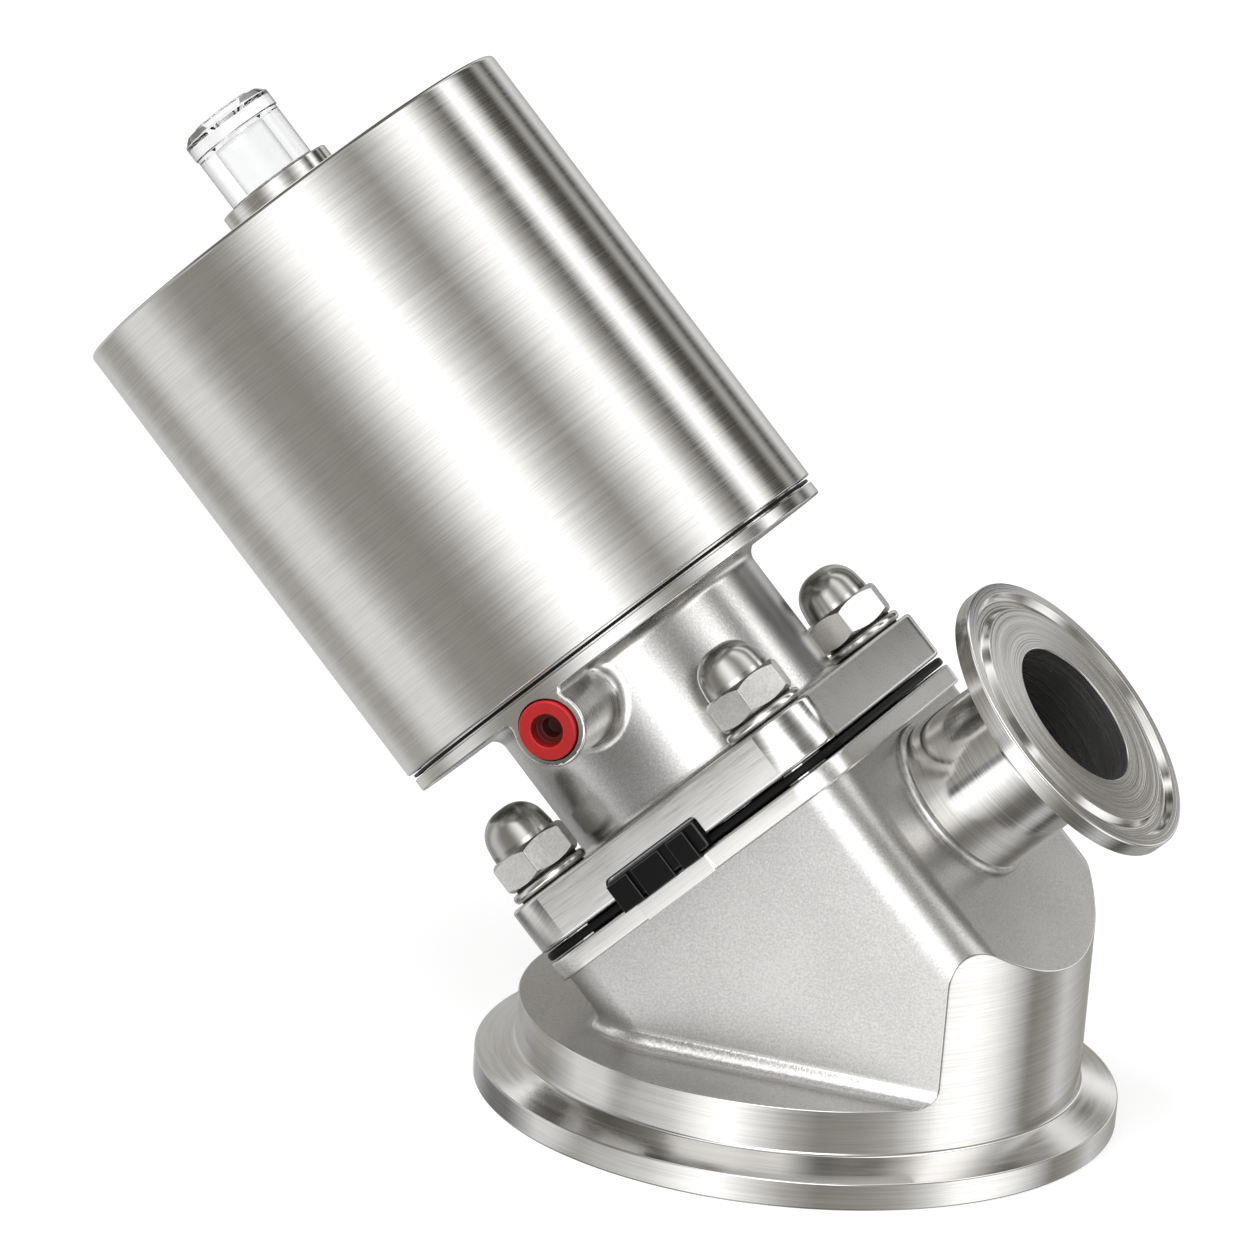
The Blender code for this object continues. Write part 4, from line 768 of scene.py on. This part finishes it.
# Actuator cup
# A drawn stainless steel cup, brushed round its axis. A thin black ring seals it on the base disc,
# and a wire ring in two half grooves holds it there.
SHELL_RADIUS, SHELL_LOW, SHELL_TOP = 41, 54.9, 140.9
shell = turned("actuator_cup", softened([
    (7.3, SHELL_TOP, 0.2), (SHELL_RADIUS, SHELL_TOP, 0.8), (SHELL_RADIUS, SHELL_LOW, 0.3),
    (39.2, SHELL_LOW, 0.2), (39.2, 56.7, 0), (39.68, 56.7, 0), (39.68, 58.9, 0), (39.2, 58.9, 0),
    (39.2, 137.9, 0.6), (7.3, 137.9, 0)]), ACTUATOR, 320)
shade(shell, turned_finish("brushed_cup_steel", ACTUATOR, light=0.69, dark=0.58, rough=0.09,
                           groove=0.28))
to_frame(shell)
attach(shell, "valve")
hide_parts("actuator_shell")

seal = turned("cup_seal_rubber", softened([
    (38.9, 54.6, 0), (40.2, 54.6, 0.15), (40.2, 54.1, 0.15), (38.9, 54.1, 0)], 3), ACTUATOR, 192)
shade(seal, rubber)
to_frame(seal)
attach(seal, "valve")
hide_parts("shell_seal")


# Position indicator
# A turned ring is screwed through the cup's top, and a thick clear cap is pushed into it. The
# lifting rod comes up inside the cap to show that the valve is open.
RING_LOW, RING_TOP, CAP_TOP = 141.2, 145.8, 160.3
ring = turned("indicator_ring", softened([
    (6.3, RING_TOP, 0.2), (10.3, RING_TOP, 0.3), (10.3, RING_LOW, 0.2), (7, RING_LOW, 0),
    (7, 135.4, 0.4), (2.8, 135.4, 0), (2.8, 138.4, 0), (4.6, 138.4, 0), (4.6, 140.8, 0),
    (2.8, 140.8, 0), (2.8, 143.8, 0), (6.3, 143.8, 0)], 4), ACTUATOR, 128)
shade(ring, turned_finish("turned_ring_steel", ACTUATOR, rough=0.03))
to_frame(ring)
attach(ring, "valve")
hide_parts("indicator_bush")

cap = turned("indicator_window", softened([
    (0, CAP_TOP, 0), (5.25, CAP_TOP, 0.25), (5.25, CAP_TOP - 0.5, 0.1), (7.0, CAP_TOP - 0.5, 0.2),
    (8.2, CAP_TOP - 1.7, 0.3), (8.2, CAP_TOP - 4.4, 0.08), (7.95, CAP_TOP - 4.6, 0.08),
    (7.95, 146.1, 0.2), (6.0, 146.1, 0), (6.0, 144.1, 0.2), (4.8, 144.1, 0.2), (4.8, 155.1, 0.3),
    (4.2, 155.9, 0.3), (0, 155.9, 0)], 4), ACTUATOR, 128)
clear = Finish("clear_plastic_window", Roughness=0.0, IOR=1.49, Transmission_Weight=1.0)
haze = clear.noise(clear.place(ACTUATOR), 0.5, 2.0)
# Painted shade: the cap's colour turns dark grey towards its rims, as the surface turns away from
# view.
edge = Field(clear, clear.node("ShaderNodeLayerWeight").outputs["Facing"])
clear.feed("Base Color", clear.blend(clear.step(edge, 0.3, 0.92) + haze * 0.03,
                                     (0.94, 0.945, 0.945, 1), (0.1, 0.11, 0.11, 1)))
shade(cap, clear.material)
to_frame(cap)
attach(cap, "valve")
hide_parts("indicator_cap")


# Cap nuts and washers
# Four studs hold the bonnet, each with a rounded washer and a polished domed nut. The nut's flats
# are brushed, and both ends of its hexagon are chamfered round. The faces under the nut and the
# washer are painted near black, as shade in the joints. One pattern sets all four.
WASHER_LOW, NUT_LOW, FLATS, HEX_HEIGHT, NUT_HEIGHT, DOME = 27.4, 29.3, 13, 5.6, 12.4, 5.75
NUT_TURN, CLOSED_GAP = radians(-11), 0.28


class Assembly(Nodes):
    """A Geometry Nodes tree with named inputs. It runs once and leaves a plain mesh."""

    def __init__(self, name, **sizes):
        self.name, self.sizes, self.keys = name, sizes, {}
        self.tree = bpy.data.node_groups.new(name, "GeometryNodeTree")
        face = self.tree.interface
        face.new_socket("Mesh", in_out="OUTPUT", socket_type="NodeSocketGeometry")
        for label, value in sizes.items():
            kind = "Float" if isinstance(value, float) else "Object"
            socket = face.new_socket(label, in_out="INPUT", socket_type="NodeSocket" + kind)
            self.keys[label] = socket.identifier
        entry = self.tree.nodes.new("NodeGroupInput")
        self.size = {label: Field(self, entry.outputs[label]) for label in sizes}

    def grown(self, mesh, finish, *special):
        """End the tree in real faces with their finishes, and run it. Each special finish goes
        to the faces that hold its mark."""
        mesh = self.put("GeometryNodeRealizeInstances", {0: mesh})
        mesh = self.put("GeometryNodeSetMaterial", {"Geometry": mesh, "Material": finish})
        for mark, other in special:
            held = self.put("GeometryNodeInputNamedAttribute", {"Name": mark},
                            data_type="BOOLEAN")
            mesh = self.put("GeometryNodeSetMaterial",
                            {"Geometry": mesh, "Selection": held, "Material": other})
        self.tree.links.new(mesh.socket, self.tree.nodes.new("NodeGroupOutput").inputs[0])
        piece = placed(self.name, bpy.data.meshes.new(self.name))
        modifier = piece.modifiers.new(self.name, "NODES")
        modifier.node_group = self.tree
        for label, value in self.sizes.items():
            modifier[self.keys[label]] = value
        settle(piece)
        return piece


def on_studs(name, pattern, height, turn, *finishes):
    """Set a pattern on the four studs, in the actuator frame."""
    tree = Assembly(name, **{"Stud spacing": 2.0 * BOLT_HALF, "Height": float(height),
                             "Turn": float(turn), "Pattern": pattern})
    size = tree.size
    places = tree.put("GeometryNodeMeshGrid", {
        "Size X": size["Stud spacing"], "Size Y": size["Stud spacing"], "Vertices X": 2,
        "Vertices Y": 2})
    places = tree.put("GeometryNodeSetPosition", {
        "Geometry": places, "Offset": tree.vector(0.0, 0.0, size["Height"])})
    form = tree.node("GeometryNodeObjectInfo", {"Object": size["Pattern"]})
    copies = tree.put("GeometryNodeInstanceOnPoints", {
        "Points": places, "Instance": Field(tree, form.outputs["Geometry"]),
        "Rotation": tree.vector(0.0, 0.0, size["Turn"])})
    piece = tree.grown(copies, *finishes)
    bpy.data.objects.remove(pattern, do_unlink=True)
    piece.data.transform(ACTUATOR)
    shade(piece, angle=28)
    to_frame(piece)
    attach(piece, "valve")
    return piece


def mark(piece, name, faces):
    piece.data.attributes.new(name, "BOOLEAN", "FACE").data.foreach_set("value", faces)


def polished_finish(name, light, rough):
    """Polished stainless steel with faint turning lines left in it."""
    finish = Finish(name, Metallic=1.0)
    place = finish.place(ACTUATOR)
    cloud = finish.noise(place, 0.6, 2.0)
    finish.feed("Base Color", finish.blend(cloud, (light - 0.05,) * 2 + (light - 0.07, 1),
                                           (light, light - 0.01, light - 0.03, 1)))
    finish.feed("Roughness", rough + 0.05 * cloud)
    finish.relief(finish.noise(place, 2.0, 2.0), 0.002)
    return finish.material


polish = polished_finish("polished_nut_steel", 0.48, 0.2)
flats = ground_finish("brushed_flat_steel", ACTUATOR, 90, 0.84, 0.7, 0.3)
washer_steel = turned_finish("washer_steel", ACTUATOR, rough=0.12)
# Painted shade: near-black steel for the faces under the nuts and washers, where the joints lie in
# shadow.
painted_shade_steel = turned_finish("shaded_gap_steel", ACTUATOR, 0.05, 0.03, 0.5)

corner = FLATS / sqrt(3)
hexagon = softened([(corner * cos(radians(60 * k)), corner * sin(radians(60 * k)),
                     0.22) for k in range(6)], 3)
nut = loft("cap_nut_pattern", [[Vector((x, y, h)) for x, y in hexagon] for h in (0, HEX_HEIGHT)])
carve(nut, "INTERSECT", turned("chamfer", softened([
    (0, HEX_HEIGHT + 0.02, 0), (FLATS / 2 - 0.35, HEX_HEIGHT + 0.02, 0.2),
    (corner + 0.1, HEX_HEIGHT - 0.95, 0), (corner + 0.1, 0.95, 0),
    (FLATS / 2 - 0.3, -0.02, 0.15), (0, -0.02, 0)], 3), TANK, 96, 0.01))
carve(nut, "UNION", turned("dome", softened([
    (0, NUT_HEIGHT, 0), (4.9, NUT_HEIGHT, 4.85), (DOME, 6.4, 0.6), (DOME, HEX_HEIGHT - 1, 0),
    (0, HEX_HEIGHT - 1, 0)], 20), TANK, 96, 0.02),
    rod("bearing_face", 5.9, -CLOSED_GAP, 0.3, TANK, 48))
carve(nut, "DIFFERENCE", rod("nut_bore", STUD_HOLE, -1, 9.2, TANK))
middles, normals = face_field(nut)
mark(nut, "flat", (np.abs(normals[:, 2]) < 0.05) & (middles[:, 2] < HEX_HEIGHT - 0.05)
     & (np.abs((normals[:, 0] + 1j * normals[:, 1]) ** 6 + 1) < 0.1)
     & (np.hypot(middles[:, 0], middles[:, 1]) > FLATS / 2 - 0.05))
# The faces below the nut's seat take the painted shade.
mark(nut, "gap", middles[:, 2] < -0.01)
nuts = on_studs("cap_nuts_steel", nut, NUT_LOW, NUT_TURN, polish, ("flat", flats),
                ("gap", painted_shade_steel))
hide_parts(*[f"cap_nut_{number}" for number in range(1, 5)])

washer = turned("washer_pattern", softened([
    (4.3, 1.6, 0.2), (7.1, 1.6, 0.7), (7.1, 0, 0.7), (6.2, 0, 0), (6.2, -CLOSED_GAP, 0),
    (4.3, -CLOSED_GAP, 0)], 6), TANK, 96)
# The faces below the washer's seat take the painted shade.
mark(washer, "gap", face_field(washer)[0][:, 2] < -0.01)
washers = on_studs("washers_steel", washer, WASHER_LOW, 0, washer_steel, ("gap", painted_shade_steel))
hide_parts(*[f"washer_{number}" for number in range(1, 5)])


# Springs
# Two coiled steel springs, one inside the other, press the piston down. The last turn at each end
# lies close.
SPRING_LOW, SPRING_HIGH, STROKE = 68.1, 137.6, 8
CLOSE_TURNS, TURN_STEPS = 2.0, 40
spring_steel = turned_finish("spring_wire_steel", ACTUATOR, 0.36, 0.26, 0.3)
for name, node, radius, wire, active in (
        ("outer_spring_steel", "outer_spring", 29.0, 4.6, 4.5),
        ("inner_spring_steel", "inner_spring", 17.0, 3.2, 7.0)):
    tree = Assembly(name, **{"Coil radius": radius, "Wire": wire, "Active turns": active,
                             "Close pitch": wire + 0.3, "Length": SPRING_HIGH - SPRING_LOW})
    size = tree.size
    turns = size["Active turns"] + CLOSE_TURNS
    open_length = size["Length"] - size["Wire"] - size["Close pitch"] * CLOSE_TURNS
    pitch = open_length / size["Active turns"]
    line = tree.put("GeometryNodeResampleCurve", {
        "Curve": tree.put("GeometryNodeCurvePrimitiveLine"),
        "Count": int((active + CLOSE_TURNS) * TURN_STEPS)})
    turn = tree.put("GeometryNodeSplineParameter") * turns
    angle = turn * (2 * pi)
    open_turns = tree.maths("MINIMUM", tree.maths("MAXIMUM", turn - CLOSE_TURNS / 2),
                            size["Active turns"])
    close_turns = turn - open_turns
    line = tree.put("GeometryNodeSetPosition", {"Geometry": line, "Position": tree.vector(
        size["Coil radius"] * tree.maths("COSINE", angle),
        size["Coil radius"] * tree.maths("SINE", angle),
        close_turns * size["Close pitch"] + open_turns * pitch + size["Wire"] * 0.5)})
    ring = tree.put("GeometryNodeCurvePrimitiveCircle", {
        "Resolution": 16, "Radius": size["Wire"] * 0.5})
    coil = tree.put("GeometryNodeCurveToMesh", {
        "Curve": line, "Profile Curve": ring, "Fill Caps": True})
    spring = tree.grown(coil, spring_steel)
    spring.data.transform(ACTUATOR @ shift(0, 0, SPRING_LOW))
    shade(spring)
    to_frame(spring)
    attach(spring, "valve")
    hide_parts(node)
    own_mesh(spring)


# Pieces inside
# Piston, spindle, studs, bush and seals are hidden at rest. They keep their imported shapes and
# get the finish of their own material.
inside = {
    "spring_steel": spring_steel,
    "aluminium": turned_finish("turned_aluminium", ACTUATOR, 0.78, 0.68, 0.3),
    "bronze": turned_finish("turned_bronze", ACTUATOR, 0.5, 0.4, 0.35),
    "stainless_steel": turned_finish("turned_inner_steel", ACTUATOR),
    "black_rubber": rubber}
white = Finish("white_plastic_turned", Roughness=0.45)
white.feed("Base Color", white.blend(white.noise(white.place(ACTUATOR), 0.5),
                                     (0.76, 0.76, 0.74, 1), (0.84, 0.84, 0.82, 1)))
inside["white_plastic"] = white.material
for name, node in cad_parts.items():
    if node.hide_render:
        continue
    for slot in node.material_slots:
        base = slot.material.name.split(".")[0]
        slot.material = inside.get(base, inside["stainless_steel"])


# Floor, light and surroundings
# A white sweep under a large soft light. Polished steel sees the white surroundings, and grey
# cards beside the valve draw the dark stripes on it.
CUP_TENT, BODY_TENT, TENT_MIDDLE = 130, 260, 30
floor = block("floor", (8000, 8000, 1), (0, 0, -0.52), axis=TANK)
to_frame(floor)
floor_finish = Finish("floor_white", Roughness=0.6, Specular_IOR_Level=0.1,
                      Base_Color=(0.5, 0.5, 0.5, 1), Emission_Color=(1, 1, 1, 1))
ray = floor_finish.node("ShaderNodeLightPath")
seen = (Field(floor_finish, ray.outputs["Is Camera Ray"])
        + Field(floor_finish, ray.outputs["Is Transmission Ray"]))
floor_finish.feed("Emission Strength", seen * 0.7)
floor.data.materials.append(floor_finish.material)
floor.visible_glossy = False

world = bpy.data.worlds.new("studio")
bpy.context.scene.world = world
world.use_nodes = True
air = Nodes()
air.tree = world.node_tree
path = air.node("ShaderNodeLightPath").outputs
shown = Field(air, path["Is Camera Ray"])
for other in ("Is Glossy Ray", "Is Transmission Ray"):
    shown = air.maths("MAXIMUM", shown, Field(air, path[other]))
level = air.put("ShaderNodeMapRange", {"Value": shown, "To Min": 0.45})
background = air.tree.nodes["Background"].inputs
background["Color"].default_value = (1, 1, 1, 1)
air.tree.links.new(level.socket, background["Strength"])

lamp_data = bpy.data.lights.new("soft_lamp", "AREA")
lamp_data.shape, lamp_data.size, lamp_data.energy = "SQUARE", 0.9, 9
lamp = placed("soft_lamp", lamp_data)
lamp.matrix_world = aimed(-25, 62, 0, Vector((0, 0, 0.07)), 1.1)
lamp.visible_glossy = False


def tent(name, rows, stripes):
    """Surroundings that only the metal sees. Stripes gives their light and how dense they are."""
    surface = loft(name, rows, ends=False)
    to_frame(surface)
    finish = Finish(name + "_surface")
    out = finish.tree.nodes["Material Output"]
    light, dense = stripes(finish)
    glow = finish.put("ShaderNodeEmission", {"Color": light, "Strength": 1.0})
    inward = Field(finish, finish.node("ShaderNodeNewGeometry").outputs["Backfacing"])
    seen_inside = finish.put("ShaderNodeMixShader", {
        0: inward * dense, 1: finish.put("ShaderNodeBsdfTransparent"), 2: glow})
    finish.tree.links.new(seen_inside.socket, out.inputs["Surface"])
    finish.tree.nodes.remove(finish.shader)
    surface.data.materials.append(finish.material)
    surface.visible_camera = surface.visible_diffuse = surface.visible_shadow = False
    surface.visible_transmission = False


def around_cup(finish):
    """Stripes by the angle round the cup: 0 is in front, 90 above right, -90 below left."""
    u, v, w = finish.parts(finish.place(ACTUATOR))
    turn = finish.maths("ARCTAN2", u, v * -1) * degrees(1)
    light = finish.ramp(turn, {
        -180: 0.4, -108: 0.72, -94: 0.5, -82: 0.5, -66: 1.0, -53: 1.0, -42: 0.6, -32: 0.38,
        -14: 0.33, -5: 0.45, 3: 0.8, 11: 1.3, 19: 1.7, 27: 2.0, 34: 1.6, 42: 0.95, 50: 0.55,
        57: 0.4, 66: 0.8, 75: 1.4, 84: 1.8, 94: 0.6, 102: 0.1, 107: 0.9, 112: 2.0, 118: 1.2,
        125: 0.15, 134: 0.06, 141: 0.6, 149: 0.05, 160: 0.9, 180: 0.4})
    light = finish.blend(finish.step(w, 38.0, 50.0), light ** 2.1, light)
    return light, finish.step(w, 12.0, 28.0) * finish.step(w, 175.0, 205.0, 1.0, 0.0)


def around_body(finish):
    """Stripes by compass direction in three bands, and a fan of them high behind the valve,
    which the upward faces see."""
    x, y, z = finish.parts(finish.place(shift(0, 0, TENT_MIDDLE)))
    turn = finish.maths("ARCTAN2", x, y * -1) * degrees(1)
    low = finish.ramp(turn, {
        -180: 0.4, -160: 0.7, -141: 0.95, -125: 0.6, -112: 0.55, -98: 0.8, -83: 0.5, -62: 0.3,
        -49: 0.65, -38: 0.78, -27: 0.95, -16: 1.5, -5: 1.9, 6: 1.2, 17: 0.62, 28: 0.34, 44: 0.4,
        55: 0.55, 64: 0.95, 74: 1.6, 86: 1.7, 96: 1.4, 106: 0.85, 116: 0.3, 128: 0.45, 140: 0.85,
        152: 0.6, 166: 0.4, 180: 0.4})
    middle = finish.ramp(turn, {
        -180: 0.3, -120: 0.4, -90: 0.9, -64: 0.45, -53: 1.3, -42: 1.7, -32: 0.8, -20: 1.2, -8: 2.4,
        6: 3.2, 32: 3.2, 43: 0.7, 70: 0.25, 90: 0.5, 120: 0.35, 180: 0.3})
    top = finish.ramp(turn, {
        -180: 0.3, -93: 0.2, -75: 0.12, -60: 0.25, -45: 0.45, -29: 1.4, -14: 2.8, 1: 1.5, 16: 0.45,
        31: 0.1, 46: 0.4, 61: 0.25, 76: 1.0, 91: 2.6, 107: 2.3, 123: 1.1, 150: 0.3, 180: 0.3})
    yaw = radians(CAMERA_YAW)
    across = x * cos(yaw) + y * sin(yaw)
    behind = y * cos(yaw) - x * sin(yaw)
    fan = finish.ramp(finish.maths("ARCTAN2", across, z - 26.0) * degrees(1), {
        -180: 0.4, -90: 0.9, -70: 0.45, -63: 0.2, -57: 1.1, -51: 1.9, -46: 1.3, -41: 0.4, -34: 0.08,
        -27: 0.08, -21: 0.3, -16: 0.85, -11: 1.6, -6: 0.7, -1: 0.25, 4: 0.08, 13: 0.2, 19: 0.6,
        24: 1.5, 29: 1.2, 34: 0.5, 39: 0.1, 44: 0.5, 48: 0.2, 54: 1.5, 59: 1.0, 65: 0.2, 72: 0.25,
        80: 1.2, 90: 1.5, 102: 0.7, 180: 0.4})
    light = finish.blend(finish.step(z, -35.0, 15.0), low, middle)
    light = finish.blend(finish.step(z, 120.0, 150.0), light, top)
    light = finish.blend(finish.step(z, 0.0, 30.0) * finish.step(behind, 60.0, 100.0),
                         light, fan)
    return finish.blend(finish.step(z, -210.0, -130.0, 0.6, 0.0), light, (0, 0, 0, 1)), 1.0


tent("tent_round_cup", [circle(CUP_TENT, w, ACTUATOR) for w in (8, 205)], around_cup)
tent("tent_round_body", [circle(BODY_TENT * cos(e), TENT_MIDDLE + BODY_TENT * sin(e))
                         for e in np.radians(range(-88, 89, 8))], around_body)
